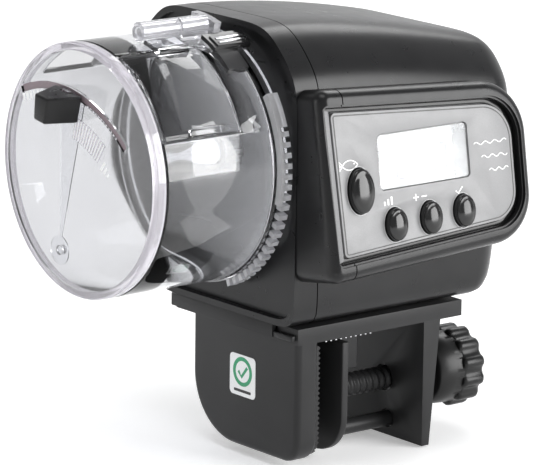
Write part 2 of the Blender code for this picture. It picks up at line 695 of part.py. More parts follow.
def batteries():
    for i, z in enumerate(CELL_Z):
        flip = i == 1
        cell = cylinder("battery_%d" % (i + 1), (CELL_X0, CELL_Y, z),
                        (CELL_X0 + CELL_L - 1.0, CELL_Y, z), CELL_D / 2, "cell_wrap", 28)
        nub_x = CELL_X0 - 1.0 if flip else CELL_X0 + CELL_L - 1.5
        nub = cylinder("nub_%d" % i, (nub_x, CELL_Y, z), (nub_x + 1.5, CELL_Y, z), 2.6, None, 16)
        join(cell, nub)


def battery_fittings():
    """The tray that holds the cells, and the contacts at its ends."""
    tray = box("battery_tray", (13.0, 22.5, -17.8), (67.6, 29.5, 13.8), "housing_black")
    cut(tray, box("tray_hollow", (13.9, 23.5, -17.0), (66.8, 45.0, 13.0)))
    for name, x, low, high in (("contact_link", 14.2, -15.2, 11.2),
                               ("contact_plus", 65.6, 0.4, 11.2),
                               ("contact_minus", 66.2, -15.2, -4.4)):
        box(name, (x, 24.0, low), (x + 0.3, 33.5, high), "steel")


def battery_spring(name, x0, x1, z):
    """A conical coil between its contact and the flat end of its cell."""
    turns, steps = 2.5, 12
    points = []
    for i in range(int(turns * steps) + 1):
        share = i / (turns * steps)
        angle = 2 * math.pi * i / steps
        radius = 4.0 - 1.6 * share
        points.append((x0 + (x1 - x0) * share, CELL_Y + radius * math.cos(angle),
                       z + radius * math.sin(angle)))
    return tube(name, points, 0.25, "steel")


def battery_door():
    """The piece of the back wall that closes the doorway."""
    door = lofted("battery_door", end_stations(HOUSING_X0, HOUSING_X1, END_RADIUS), 0.0,
                  "housing_black")
    inner = lofted("door_inner", end_stations(HOUSING_X0 + 3.5, HOUSING_X1 - WALL, END_RADIUS), WALL)
    clearance = Vector((GAP, 0.0, GAP))
    keep = box("door_limit", Vector(DOORWAY_LOW) + clearance, Vector(DOORWAY_HIGH) - clearance)
    tool(door, keep, "INTERSECT")
    return cut(door, inner)


# ---------------------------------------------------------------- clamp

def jaw_outline(front, back, top, bottom, front_r, back_r):
    return rounded([(front, top), (back, top), (back, bottom), (front, bottom)],
                   [0.0, 0.0, back_r, front_r], 8)


def clamp_bracket():
    """The moulded bracket: rail, fixed jaw with its grip ribs, and the screw's end plate."""
    rail = box("clamp_bracket", (JAW_X0, CLAMP_FRONT, RAIL_BOTTOM), (58.2, 15.0, RAIL_TOP),
               "clamp_black")
    flange = box("outer_flange", (4.4, -25.0, -41.4), (JAW_X0 + 1.0, 15.0, RAIL_TOP))
    underside = box("rail_relief", (JAW_X1 + 0.2, CLAMP_FRONT + 4.0, -50.0), (45.8, 30.0, -41.3))
    cut(rail, underside)
    jaw = plate_x("fixed_jaw", jaw_outline(CLAMP_FRONT, CLAMP_BACK, RAIL_TOP - 1.0, JAW_BOTTOM,
                                           9.0, 16.0), JAW_X0 + 0.01, JAW_X1 - 0.6)
    soften(jaw, 1.6, 3, 60.0)
    teeth = 14
    pitch = 2.0
    top = RAIL_BOTTOM - 1.0
    comb = [(JAW_X0 + 3.0, top)]
    for i in range(teeth):
        comb += [(JAW_X1 - 0.7, top - pitch * i), (JAW_X1, top - pitch * (i + 0.5))]
    comb += [(JAW_X1 - 0.7, top - pitch * teeth), (JAW_X0 + 3.0, top - pitch * teeth)]
    ribs = plate_y("grip_ribs", comb, CLAMP_FRONT + 0.4, CLAMP_BACK - 0.4)
    corner = plate_x("rib_limit", jaw_outline(CLAMP_FRONT + 0.3, CLAMP_BACK - 0.3, -30.0,
                                              JAW_BOTTOM + 0.3, 8.8, 15.8), 0.0, 30.0)
    tool(ribs, corner, "INTERSECT")
    end_plate = plate_y("end_plate", [(46.0, RAIL_TOP - 1.0), (51.6, RAIL_TOP - 1.0),
                                      (48.3, -74.0), (46.0, -74.0)], CLAMP_FRONT + 0.02,
                        CLAMP_BACK - 4.0)
    join(rail, flange, jaw, ribs, end_plate)
    screw_hole = cylinder("screw_hole", (40.0, SCREW_Y, SCREW_Z), (56.0, SCREW_Y, SCREW_Z), 3.4,
                          None, 24)
    rod_hole = cylinder("rod_hole", (40.0, ROD_Y, ROD_Z), (56.0, ROD_Y, ROD_Z), 2.35, None, 20)
    for i, (x, y) in enumerate(BRACKET_SCREWS):
        cut(rail, cylinder("rail_bore_%d" % i, (x, y, -50.0), (x, y, -36.0), 1.4, None, 12),
            cylinder("rail_recess_%d" % i, (x, y, -50.0), (x, y, -39.8), 2.6, None, 18))
    return cut(rail, screw_hole, rod_hole)


def jaw_plate():
    """The moving jaw with its slide block and the screw's socket."""
    jaw = plate_x("jaw_plate", jaw_outline(CLAMP_FRONT, 3.0, JAW_TOP, JAW_BOTTOM, 10.0, 10.0),
                  MOVING_X0, MOVING_X1, "clamp_black")
    block = box("slide_block", (MOVING_X1 - 0.5, -25.5, -53.0), (31.0, -10.5, -44.5))
    socket = cylinder("screw_socket", (MOVING_X1 - 0.5, SCREW_Y, SCREW_Z), (27.0, SCREW_Y, SCREW_Z),
                      5.4, None, 28)
    bore = cylinder("socket_bore", (MOVING_X1 - 0.6, SCREW_Y, SCREW_Z), (30.0, SCREW_Y, SCREW_Z),
                    3.4, None, 24)
    rod_seat = cylinder("rod_seat", (MOVING_X1 - 1.2, ROD_Y, ROD_Z), (30.0, ROD_Y, ROD_Z), 2.3,
                        None, 20)
    return cut(join(jaw, block, socket), bore, rod_seat)


def knob_outline(lobes, mean, depth, count=72):
    points = []
    for i in range(count):
        turn = 2 * math.pi * i / count
        radius = mean + depth * math.cos(lobes * (turn - math.radians(15.0)))
        points.append((radius * math.cos(turn), radius * math.sin(turn)))
    return points


def clamp_screw():
    cylinder("clamp_screw", (MOVING_X1 - 0.3, SCREW_Y, SCREW_Z), (66.0, SCREW_Y, SCREW_Z), 3.0,
             "clamp_black", 24)
    knob = plate_x("clamp_knob", knob_outline(12, 9.8, 0.5), 64.5, 71.4, "clamp_black")
    knob.location = place(64.5, SCREW_Y, SCREW_Z)
    soften(knob, 0.5, 1, 60.0)
    skirt = cylinder("knob_skirt", (57.5, SCREW_Y, SCREW_Z), (65.0, SCREW_Y, SCREW_Z), 8.6, None,
                     48, 9.2)
    bore = cylinder("knob_bore", (50.0, SCREW_Y, SCREW_Z), (66.3, SCREW_Y, SCREW_Z), 3.3, None, 24)
    cut(join(knob, skirt), bore)
    cylinder("guide_rod", (MOVING_X1 - 0.9, ROD_Y, ROD_Z), (56.0, ROD_Y, ROD_Z), 2.0,
             "clamp_black", 20)


def screw(name, start, end, radius=1.05, head_radius=2.2, head_depth=1.1, look="steel"):
    """A self-tapping screw from its head's outer face to its tip."""
    first, last = Vector(start), Vector(end)
    along = (last - first).normalized()
    shank = cylinder(name, first + along * 0.2, last, radius, look, 14)
    head = cylinder(name + "_head", first, first + along * head_depth, head_radius, None, 18)
    return join(shank, head)


def bracket_screws():
    for i, (x, y) in enumerate(BRACKET_SCREWS):
        screw("bracket_screw_%d" % (i + 1), (x, y, -41.2), (x, y, -33.0))


def build():
    left_shell()
    main_shell()
    drum_tube()
    drum_door()
    drum_end_cap()
    drum_base()
    feed_gate()
    slider_knob()
    drum_fittings()
    control_panel()
    electronics()
    drive_train()
    home_switch()
    batteries()
    battery_fittings()
    battery_spring("battery_spring_1", 14.8, 15.7, CELL_Z[0])
    battery_spring("battery_spring_2", 65.85, 64.85, CELL_Z[1])
    battery_door()
    clamp_bracket()
    jaw_plate()
    clamp_screw()
    bracket_screws()


build()
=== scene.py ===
"""Automatic fish feeder: the looks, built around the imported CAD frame.

Lengths are millimetres in the feeder's own layout (x along the drum's axis, y to the back,
z up, zero on the drum's axis at its base ring). at() turns them into the frame's metres.
"""
import json
import math

import bmesh
import bpy
from mathutils import Matrix, Vector

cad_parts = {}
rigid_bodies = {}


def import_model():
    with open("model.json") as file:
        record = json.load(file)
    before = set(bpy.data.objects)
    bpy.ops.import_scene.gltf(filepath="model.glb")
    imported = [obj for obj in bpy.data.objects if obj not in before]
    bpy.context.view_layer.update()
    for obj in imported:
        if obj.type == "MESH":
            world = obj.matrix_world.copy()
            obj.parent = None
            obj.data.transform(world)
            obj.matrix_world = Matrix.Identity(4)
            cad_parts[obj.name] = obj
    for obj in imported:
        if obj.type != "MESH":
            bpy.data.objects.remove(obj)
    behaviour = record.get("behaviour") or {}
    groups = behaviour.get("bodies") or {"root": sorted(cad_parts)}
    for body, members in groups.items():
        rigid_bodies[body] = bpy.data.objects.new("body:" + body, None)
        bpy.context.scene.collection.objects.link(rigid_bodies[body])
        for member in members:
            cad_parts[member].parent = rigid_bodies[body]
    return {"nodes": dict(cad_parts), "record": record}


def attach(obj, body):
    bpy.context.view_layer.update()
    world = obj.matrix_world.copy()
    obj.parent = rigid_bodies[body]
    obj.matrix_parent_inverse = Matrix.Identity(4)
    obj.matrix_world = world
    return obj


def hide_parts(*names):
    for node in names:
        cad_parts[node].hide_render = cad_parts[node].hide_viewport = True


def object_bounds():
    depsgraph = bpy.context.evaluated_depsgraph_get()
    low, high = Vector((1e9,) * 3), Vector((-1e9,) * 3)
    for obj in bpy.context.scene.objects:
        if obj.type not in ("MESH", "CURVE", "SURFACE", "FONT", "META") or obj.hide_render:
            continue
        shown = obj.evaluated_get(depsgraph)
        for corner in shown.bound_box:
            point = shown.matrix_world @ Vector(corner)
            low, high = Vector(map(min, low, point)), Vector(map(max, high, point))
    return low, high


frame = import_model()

CAD_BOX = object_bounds()
NODES = frame["nodes"]
MM = 0.001
RIM_STOP = Vector((16.0, -12.0, -41.3))   # the middle of the face that rests on the tank's rim
GAP = 0.3                                 # running and seating clearance

# Drum. Angles round it run from the front towards the top; the lever's run from upright to the front.
DRUM_R, DRUM_WALL, DRUM_END, CAP_BACK, BASE_BACK = 31.0, 1.5, -35.1, -32.2, 3.6
HINGE_R, KNUCKLE_R, HINGE_ANGLE = 33.7, 2.4, 80.0
DOOR_LOW, DOOR_HIGH, DOOR_X0, DOOR_X1 = 22.0, 70.0, -31.0, -9.0
GATE_PIVOT, GATE_R, GATE_REST = (9.0, -21.0), 40.1, 7.8
SLOT_FROM, SLOT_TO = -21.0, 43.0
CAP_THICK, HINGE_BORE, SPOUT = 1.3, 1.3, (112.0, 138.0)

# Housing
HOUSING_X0, SEAM_X, HOUSING_X1 = 4.0, 11.0, 75.3
HOUSING_Y, HOUSING_Z, WALL = 4.0, 0.0, 2.0
END_RADIUS, END_TILT = 9.5, 0.12
TOP_LEFT, TOP_FALL, FLOOR = 34.4, 7.3, 38.0
INNER_X0 = HOUSING_X0 + 3.5
DOORWAY_LOW, DOORWAY_HIGH = (15.0, 34.0, -17.5), (66.0, 70.0, 13.5)

# Control panel: x across, v up the panel, w out of it
PANEL_Y, PANEL_LEAN = -44.0, math.radians(9.0)
BEZEL = [(4.2, 22.0), (68.8, 17.8), (68.8, -21.0), (4.2, -24.6)]
BEZEL_R = [3.0, 14.0, 12.0, 3.0]
OPENING = [(5.6, 17.7), (65.6, 13.9), (65.6, -17.0), (6.6, -20.3)]
OPENING_R = [1.0, 10.5, 8.5, 1.0]
PLATE = [(7.6, 16.4), (64.2, 12.6), (64.2, -15.7), (8.6, -18.9)]
FACE = [(7.9, 16.1), (63.9, 12.3), (63.9, -15.4), (8.9, -18.6)]
FACE_R = [1.2, 9.2, 7.2, 1.2]
PLATE_R = [1.5, 9.5, 7.5, 1.5]
CAVITY = [(7.4, 19.6), (66.6, 15.6), (66.6, -18.9), (7.4, -22.3)]
CAVITY_R = [2.0, 11.8, 9.8, 2.0]
TRIM = [(5.9, 17.4), (65.3, 13.6), (65.3, -16.7), (6.9, -20.0)]
TRIM_R = [0.8, 10.2, 8.2, 0.8]
STRIP = [(6.1, 17.0), (7.45, 16.6), (8.45, -19.2), (7.1, -19.7)]
FLANGE = [(8.0, 18.0), (65.6, 14.2), (65.6, -17.4), (8.0, -20.8)]
FLANGE_R = [1.5, 10.5, 8.5, 1.5]
LCD = (35.6, 2.7, 28.0, 13.0)
LCD_FACE = -0.75
BUTTONS = {"feed": (14.9, -3.2, 7.2, 10.8), "mode": (24.9, -12.5, 6.0, 7.8),
           "adjust": (35.9, -12.2, 6.0, 7.8), "set": (46.5, -11.9, 6.0, 7.8)}
PRINT_LOW, PRINT_HIGH, LINE = -0.01, 0.05, 0.24
SEGMENTS = {"0": "abcdef", "3": "abcdg", "8": "abcdefg"}
DISPLAY_TIME = [("0", 23.6), ("8", 29.2), ("3", 35.6), ("0", 41.2)]
DIGIT_WIDE, DIGIT_HIGH, DIGIT_LINE, DIGIT_BASE = 3.6, 7.0, 0.62, -1.9

# Clamp
JAW_X0, JAW_X1, JAW_BOTTOM = 6.0, 13.4, -72.4
MOVING_X0, MOVING_X1 = 20.0, 22.0
CLAMP_FRONT, CLAMP_BACK = -33.0, 8.4
RAIL_TOP, RAIL_BOTTOM, JAW_TOP = -38.3, -42.3, -43.6
SCREW_Y, SCREW_Z, ROD_Y, ROD_Z = -18.0, -59.5, -19.5, -69.7
END_PLATE = [(46.0, RAIL_TOP - 1.0), (51.6, RAIL_TOP - 1.0), (48.3, -74.0), (46.0, -74.0)]
BRACKET_SCREWS = [(24.0, 10.0), (42.0, 10.0)]
BLOCK_LOW, BLOCK_HIGH = (MOVING_X1 - 0.5, -25.5, -53.0), (31.0, -10.5, -44.5)
THREAD_PITCH, THREAD_R, THREAD_DEPTH, PLAIN_R = 2.0, 3.0, 0.45, 2.7
KNOB_BACK, KNOB_FRONT = 64.5, 71.4
LABEL_Y, LABEL_PRINT = -11.8, 0.1

# Camera
CAMERA_TURN, CAMERA_TILT, CAMERA_ROLL = math.radians(38.8), math.radians(13.05), math.radians(0.7)
CAMERA_PLACE, FOCAL_LENGTH, SENSOR = (-0.6155, -0.7615, 0.2487), 277.936, 36.0


def at(x, y, z):
    return (Vector((x, y, z)) - RIM_STOP) * MM


# ---------------------------------------------------------------- materials

def new_material(name, colour, roughness, metallic=0.0, **more):
    made = bpy.data.materials.new(name)
    made.use_nodes = True
    shader = made.node_tree.nodes["Principled BSDF"]
    shader.inputs["Base Color"].default_value = (*colour, 1.0)
    shader.inputs["Roughness"].default_value = roughness
    shader.inputs["Metallic"].default_value = metallic
    for key, value in more.items():
        shader.inputs[key.replace("_", " ")].default_value = value
    return made, made.node_tree, shader


def noise(tree, scale, detail=3.0, stretch=(1.0, 1.0, 1.0)):
    """Noise in the object's own metres; a scale of 1000 has features about a millimetre wide."""
    coords = tree.nodes.new("ShaderNodeTexCoord")
    mapping = tree.nodes.new("ShaderNodeMapping")
    mapping.inputs["Scale"].default_value = stretch
    texture = tree.nodes.new("ShaderNodeTexNoise")
    texture.inputs["Scale"].default_value = scale
    texture.inputs["Detail"].default_value = detail
    tree.links.new(coords.outputs["Object"], mapping.inputs["Vector"])
    tree.links.new(mapping.outputs["Vector"], texture.inputs["Vector"])
    return texture.outputs["Fac"]


def ramp(tree, source, low, high, start=0.3, end=0.7):
    """Source mapped to a colour or grey between low and high."""
    node = tree.nodes.new("ShaderNodeValToRGB")
    for stop, value, place in ((0, low, start), (1, high, end)):
        node.color_ramp.elements[stop].position = place
        node.color_ramp.elements[stop].color = (*value, 1.0) if hasattr(value, "__len__") \
            else (value, value, value, 1.0)
    tree.links.new(source, node.inputs["Fac"])
    return node.outputs["Color"]


def bump(tree, shader, source, strength, depth_mm):
    node = tree.nodes.new("ShaderNodeBump")
    node.inputs["Strength"].default_value = strength
    node.inputs["Distance"].default_value = depth_mm * MM
    tree.links.new(source, node.inputs["Height"])
    tree.links.new(node.outputs["Normal"], shader.inputs["Normal"])


def moulded(name, dark, light, smooth, rough, grain=7000.0, depth=0.02, **more):
    """Opaque moulded plastic: a fine spark-eroded grain, faint cloudiness and polish patches."""
    made, tree, shader = new_material(name, dark, rough, **more)
    tree.links.new(ramp(tree, noise(tree, 60.0), dark, light), shader.inputs["Base Color"])
    tree.links.new(ramp(tree, noise(tree, 240.0, 5.0), smooth, rough), shader.inputs["Roughness"])
    bump(tree, shader, noise(tree, grain, 2.0), 0.35, depth)
    return made


def clear(name, tint, deep, rough=0.03, passing=1.0):
    """Clear moulded plastic, which lets the lamps' light through to what is inside."""
    made, tree, shader = new_material(name, tint, rough, Transmission_Weight=passing, IOR=1.49)
    tree.links.new(ramp(tree, noise(tree, 45.0), deep, tint), shader.inputs["Base Color"])
    tree.links.new(ramp(tree, noise(tree, 170.0, 4.0), rough * 0.5, rough * 1.6),
                   shader.inputs["Roughness"])
    bump(tree, shader, noise(tree, 90.0, 1.0), 0.10, 0.05)
    path = tree.nodes.new("ShaderNodeLightPath")
    through = tree.nodes.new("ShaderNodeBsdfTransparent")
    through.inputs["Color"].default_value = (*tint, 1.0)
    mix = tree.nodes.new("ShaderNodeMixShader")
    output = tree.nodes["Material Output"]
    tree.links.new(path.outputs["Is Shadow Ray"], mix.inputs["Fac"])
    tree.links.new(shader.outputs["BSDF"], mix.inputs[1])
    tree.links.new(through.outputs["BSDF"], mix.inputs[2])
    tree.links.new(mix.outputs["Shader"], output.inputs["Surface"])
    return made


def metal(name, colour, low, high, stretch=(1.0, 1.0, 1.0)):
    """Plated or turned metal with fine marks along one direction."""
    made, tree, shader = new_material(name, colour, low, 1.0)
    lines = noise(tree, 2600.0, 3.0, stretch)
    tree.links.new(ramp(tree, lines, low, high), shader.inputs["Roughness"])
    dull = tuple(c * 0.82 for c in colour)
    tree.links.new(ramp(tree, noise(tree, 300.0), dull, colour), shader.inputs["Base Color"])
    bump(tree, shader, lines, 0.2, 0.01)
    return made


def printed(name, dark, light, rough=0.42):
    """A printed or painted plate: fine pigment speckle under a satin coat."""
    made, tree, shader = new_material(name, light, rough)
    tree.links.new(ramp(tree, noise(tree, 5200.0, 2.0), dark, light), shader.inputs["Base Color"])
    tree.links.new(ramp(tree, noise(tree, 300.0), rough - 0.06, rough + 0.06),
                   shader.inputs["Roughness"])
    bump(tree, shader, noise(tree, 6000.0, 2.0), 0.15, 0.01)
    return made


LOOKS = {}


def look(make, name, *values, **more):
    LOOKS[name] = make(name, *values, **more)


look(moulded, "housing_black", (0.007, 0.007, 0.0075), (0.011, 0.011, 0.0115), 0.27, 0.31, 3000.0,
     0.003, Specular_IOR_Level=0.30)
look(moulded, "clamp_black", (0.018, 0.018, 0.0185), (0.024, 0.024, 0.0245), 0.33, 0.40, 2600.0,
     0.005, Specular_IOR_Level=0.20)
look(moulded, "knob_black", (0.006, 0.006, 0.006), (0.010, 0.010, 0.010), 0.26, 0.36,
     Specular_IOR_Level=0.30)
look(moulded, "button_black", (0.006, 0.006, 0.006), (0.009, 0.009, 0.009), 0.10, 0.18, 2500.0,
     0.004)
look(clear, "clear_plastic", (0.955, 0.96, 0.975), (0.93, 0.935, 0.955))
look(clear, "clear_frost", (0.84, 0.84, 0.86), (0.76, 0.76, 0.78), 0.10, 0.82)
look(clear, "grip_frost", (0.86, 0.86, 0.87), (0.78, 0.78, 0.79), 0.16, 0.62)
look(clear, "clear_rim", (0.80, 0.785, 0.82), (0.72, 0.70, 0.74), 0.09, 0.72)
look(clear, "clear_cap", (0.67, 0.67, 0.68), (0.64, 0.64, 0.65), 0.04)
look(clear, "clear_window", (0.97, 0.975, 0.98), (0.95, 0.955, 0.965), 0.20)
look(moulded, "smoked_tab", (0.018, 0.018, 0.019), (0.03, 0.03, 0.031), 0.12, 0.2, 3000.0, 0.006)
# silver metal for the latch's ribs; on the rail's studs the same silver is a painted glint for
# highlights on the rack's tooth tips
look(metal, "silver_and_glint", (0.75, 0.75, 0.77), 0.15, 0.3)
look(printed, "dial_rose", (0.20, 0.155, 0.17), (0.27, 0.215, 0.235), 0.35)
look(printed, "dial_white", (0.80, 0.80, 0.80), (0.92, 0.92, 0.92), 0.35)
look(printed, "panel_grey", (0.21, 0.21, 0.213), (0.245, 0.245, 0.248), 0.42)
look(metal, "panel_silver", (0.42, 0.42, 0.43), 0.34, 0.46, (0.06, 1.0, 1.0))
look(moulded, "trim_black", (0.006, 0.006, 0.006), (0.009, 0.009, 0.009), 0.18, 0.26,
     Specular_IOR_Level=0.35)
look(printed, "print_black", (0.008, 0.008, 0.008), (0.015, 0.015, 0.015), 0.35)
look(printed, "print_white", (0.82, 0.82, 0.82), (0.92, 0.92, 0.92), 0.45)
look(printed, "display", (0.31, 0.314, 0.314), (0.34, 0.344, 0.344), 0.45)
look(printed, "display_stripe", (0.235, 0.238, 0.24), (0.26, 0.263, 0.265), 0.45)
look(printed, "display_digits", (0.17, 0.172, 0.182), (0.20, 0.202, 0.212), 0.45)
look(printed, "strip_silver", (0.15, 0.15, 0.153), (0.20, 0.20, 0.203), 0.45)
look(printed, "ring_grey", (0.40, 0.40, 0.405), (0.48, 0.48, 0.485), 0.35)
look(printed, "sticker_white", (0.72, 0.73, 0.73), (0.82, 0.83, 0.83), 0.38)
look(printed, "sticker_green", (0.01, 0.22, 0.09), (0.02, 0.32, 0.14), 0.38)
look(printed, "board_green", (0.012, 0.11, 0.04), (0.02, 0.16, 0.06), 0.40)
look(moulded, "chip_black", (0.014, 0.014, 0.014), (0.022, 0.022, 0.022), 0.45, 0.6)
look(moulded, "gear_white", (0.68, 0.66, 0.60), (0.76, 0.74, 0.68), 0.40, 0.52)
look(metal, "steel", (0.60, 0.60, 0.62), 0.22, 0.38, (0.08, 1.0, 1.0))
look(printed, "cell_wrap", (0.05, 0.12, 0.24), (0.08, 0.17, 0.31), 0.30)


# ---------------------------------------------------------------- modelling helpers

HELPERS = bpy.data.collections.new("helpers")
bpy.context.scene.collection.children.link(HELPERS)


def add_object(name, mesh):
    thing = bpy.data.objects.new(name, mesh)
    HELPERS.objects.link(thing)
    return thing


def mesh_from(bm, name):
    bmesh.ops.recalc_face_normals(bm, faces=bm.faces)
    mesh = bpy.data.meshes.new(name)
    bm.to_mesh(mesh)
    bm.free()
    return mesh


def tool(thing, other, operation):
    step = thing.modifiers.new(other.name, "BOOLEAN")
    step.operation = operation
    step.solver = "EXACT"
    step.object = other


def cut(thing, *others):
    for other in others:
        tool(thing, other, "DIFFERENCE")
    return thing


def join(thing, *others):
    for other in others:
        tool(thing, other, "UNION")
    return thing


def soften(thing, width, segments=3, angle=35.0):
    bevel = thing.modifiers.new("edges", "BEVEL")
    bevel.width = width * MM
    bevel.segments = segments
    bevel.limit_method = "ANGLE"
    bevel.angle_limit = math.radians(angle)
    bevel.harden_normals = False


def piece(name, thing, look, body, nodes=(), smooth=35.0):
    """Freezes a built thing into the frame's metres as a shown piece on its CAD body."""
    bpy.context.view_layer.update()
    graph = bpy.context.evaluated_depsgraph_get()
    mesh = bpy.data.meshes.new_from_object(thing.evaluated_get(graph))
    mesh.transform(thing.matrix_world)
    mesh.name = name
    bm = bmesh.new()
    bm.from_mesh(mesh)
    bmesh.ops.dissolve_degenerate(bm, edges=bm.edges, dist=0.000003)
    bmesh.ops.remove_doubles(bm, verts=bm.verts, dist=0.000002)
    bm.to_mesh(mesh)
    bm.free()
    mesh.materials.clear()
    mesh.materials.append(LOOKS[look])
    mesh.shade_smooth()
    mesh.set_sharp_from_angle(angle=math.radians(smooth))
    made = bpy.data.objects.new("v_" + name, mesh)
    bpy.context.scene.collection.objects.link(made)
    for old in list(HELPERS.objects):
        bpy.data.objects.remove(old, do_unlink=True)
    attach(made, body)
    if nodes:
        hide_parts(*nodes)


def box(name, low, high):
    bm = bmesh.new()
    bmesh.ops.create_cube(bm, size=1.0)
    size = (Vector(high) - Vector(low)) * MM
    bmesh.ops.scale(bm, vec=size, verts=bm.verts)
    thing = add_object(name, mesh_from(bm, name))
    thing.location = at(*((Vector(low) + Vector(high)) / 2))
    return thing


def cylinder(name, start, end, radius, segments=48, end_radius=None):
    first, last = Vector(start), Vector(end)
    bm = bmesh.new()
    bmesh.ops.create_cone(bm, cap_ends=True, segments=segments, radius1=radius * MM,
                          radius2=(radius if end_radius is None else end_radius) * MM,
                          depth=(last - first).length * MM)
    thing = add_object(name, mesh_from(bm, name))
    thing.rotation_euler = (last - first).to_track_quat("Z", "Y").to_euler()
    thing.location = at(*((first + last) / 2))
    return thing


def extrude_outline(name, points, depth):
    bm = bmesh.new()
    ring = [bm.verts.new((x * MM, y * MM, 0.0)) for x, y in points]
    face = bm.faces.new(ring)
    grown = bmesh.ops.extrude_face_region(bm, geom=[face])
    lifted = [item for item in grown["geom"] if isinstance(item, bmesh.types.BMVert)]
    bmesh.ops.translate(bm, vec=(0.0, 0.0, depth * MM), verts=lifted)
    return add_object(name, mesh_from(bm, name))


def plate_x(name, points, x0, x1):
    thing = extrude_outline(name, points, x1 - x0)
    thing.matrix_world = Matrix(((0, 0, 1, 0), (1, 0, 0, 0), (0, 1, 0, 0), (0, 0, 0, 1)))
    thing.matrix_world.translation = at(x0, 0.0, 0.0)
    return thing


def plate_y(name, points, y0, y1):
    thing = extrude_outline(name, points, y1 - y0)
    thing.matrix_world = Matrix(((1, 0, 0, 0), (0, 0, -1, 0), (0, 1, 0, 0), (0, 0, 0, 1)))
    thing.matrix_world.translation = at(0.0, y1, 0.0)
    return thing


def panel_point(x, v, w):
    lean_s, lean_c = math.sin(PANEL_LEAN), math.cos(PANEL_LEAN)
    return (x, PANEL_Y + v * lean_s - w * lean_c, v * lean_c + w * lean_s)


def panel_prism(name, points, w0, w1):
    thing = extrude_outline(name, points, w1 - w0)
    thing.location = at(*panel_point(0.0, 0.0, w0))
    thing.rotation_euler = (math.pi / 2 - PANEL_LEAN, 0.0, 0.0)
    return thing


def loft(name, rings):
    """A closed solid through rings of layout points, all with the same count."""
    bm = bmesh.new()
    loops = [[bm.verts.new(at(*point)) for point in ring] for ring in rings]
    count = len(loops[0])
    for near, far in zip(loops, loops[1:]):
        for i in range(count):
            j = (i + 1) % count
            bm.faces.new((near[i], near[j], far[j], far[i]))
    bm.faces.new(loops[0])
    bm.faces.new(loops[-1])
    return add_object(name, mesh_from(bm, name))


def turned(name, profile, x, steps=160, y=0.0, z=0.0):
    """A solid turned about an axis along x through a closed profile of (radius, height)."""
    bm = bmesh.new()
    loops = []
    for i in range(steps):
        turn = 2 * math.pi * i / steps
        loops.append([at(x + h, y + r * math.cos(turn), z + r * math.sin(turn))
                      for r, h in profile])
    verts = [[bm.verts.new(p) for p in loop] for loop in loops]
    for i in range(steps):
        for k in range(len(profile)):
            a, b = verts[i], verts[(i + 1) % steps]
            m = (k + 1) % len(profile)
            if profile[k][0] == 0.0 and profile[m][0] == 0.0:
                continue
            bm.faces.new((a[k], b[k], b[m], a[m]))
    bmesh.ops.remove_doubles(bm, verts=bm.verts, dist=0.000001)
    return add_object(name, mesh_from(bm, name))


# ---------------------------------------------------------------- outlines

def arc(centre, radius, start, end, steps):
    points = []
    for i in range(steps + 1):
        angle = math.radians(start + (end - start) * i / steps)
        points.append((centre[0] + radius * math.cos(angle), centre[1] + radius * math.sin(angle)))
    return points


def ellipse(centre, size, steps=64):
    points = arc((0.0, 0.0), 1.0, 0.0, 360.0, steps)[:-1]
    return [(centre[0] + a * size[0] / 2, centre[1] + b * size[1] / 2) for a, b in points]


def rounded(corners, radii, steps=14):
    points = []
    count = len(corners)
    for i, radius in enumerate(radii):
        here = Vector(corners[i])
        before = (Vector(corners[i - 1]) - here).normalized()
        after = (Vector(corners[(i + 1) % count]) - here).normalized()
        half = before.angle(after) / 2
        if radius <= 0.0:
            points.append(tuple(here))
            continue
        centre = here + (before + after).normalized() * (radius / math.sin(half))
        first = here + before * (radius / math.tan(half)) - centre
        last = here + after * (radius / math.tan(half)) - centre
        turn = first.angle_signed(last)
        for k in range(steps + 1):
            step = first.copy()
            step.rotate(Matrix.Rotation(-turn * k / steps, 2))
            points.append(tuple(centre + step))
    return points


def rounded_box(centre, size, radius, steps=6):
    x, y = centre
    w, h = size[0] / 2, size[1] / 2
    return rounded([(x - w, y - h), (x + w, y - h), (x + w, y + h), (x - w, y + h)],
                   [radius] * 4, steps)


def inset(points, distance):
    """A convex outline moved inwards by distance, corner by corner."""
    moved = []
    count = len(points)
    area = sum(a[0] * b[1] - b[0] * a[1] for a, b in zip(points, points[1:] + points[:1]))
    side = 1.0 if area > 0 else -1.0
    for i in range(count):
        a, b, c = (Vector(points[i - 1]), Vector(points[i]), Vector(points[(i + 1) % count]))
        one, two = (b - a).normalized(), (c - b).normalized()
        inward = (Vector((-one.y, one.x)) + Vector((-two.y, two.x))).normalized() * side
        bend = max(0.3, inward.dot(Vector((-one.y, one.x)) * side))
        moved.append(tuple(b + inward * distance / bend))
    return moved


def drum_point(angle, radius):
    return (-radius * math.cos(math.radians(angle)), radius * math.sin(math.radians(angle)))


def drum_sector(low, high, inner, outer, steps):
    angles = [low + (high - low) * i / steps for i in range(steps + 1)]
    return ([drum_point(a, outer) for a in angles]
            + [drum_point(a, inner) for a in reversed(angles)])


def gate_point(angle, radius):
    turn = math.radians(angle)
    return (GATE_PIVOT[0] - radius * math.sin(turn), GATE_PIVOT[1] + radius * math.cos(turn))


def gate_sector(low, high, inner, outer, steps):
    angles = [low + (high - low) * i / steps for i in range(steps + 1)]
    return ([gate_point(a, outer) for a in angles]
            + [gate_point(a, inner) for a in reversed(angles)])


# ---------------------------------------------------------------- housing

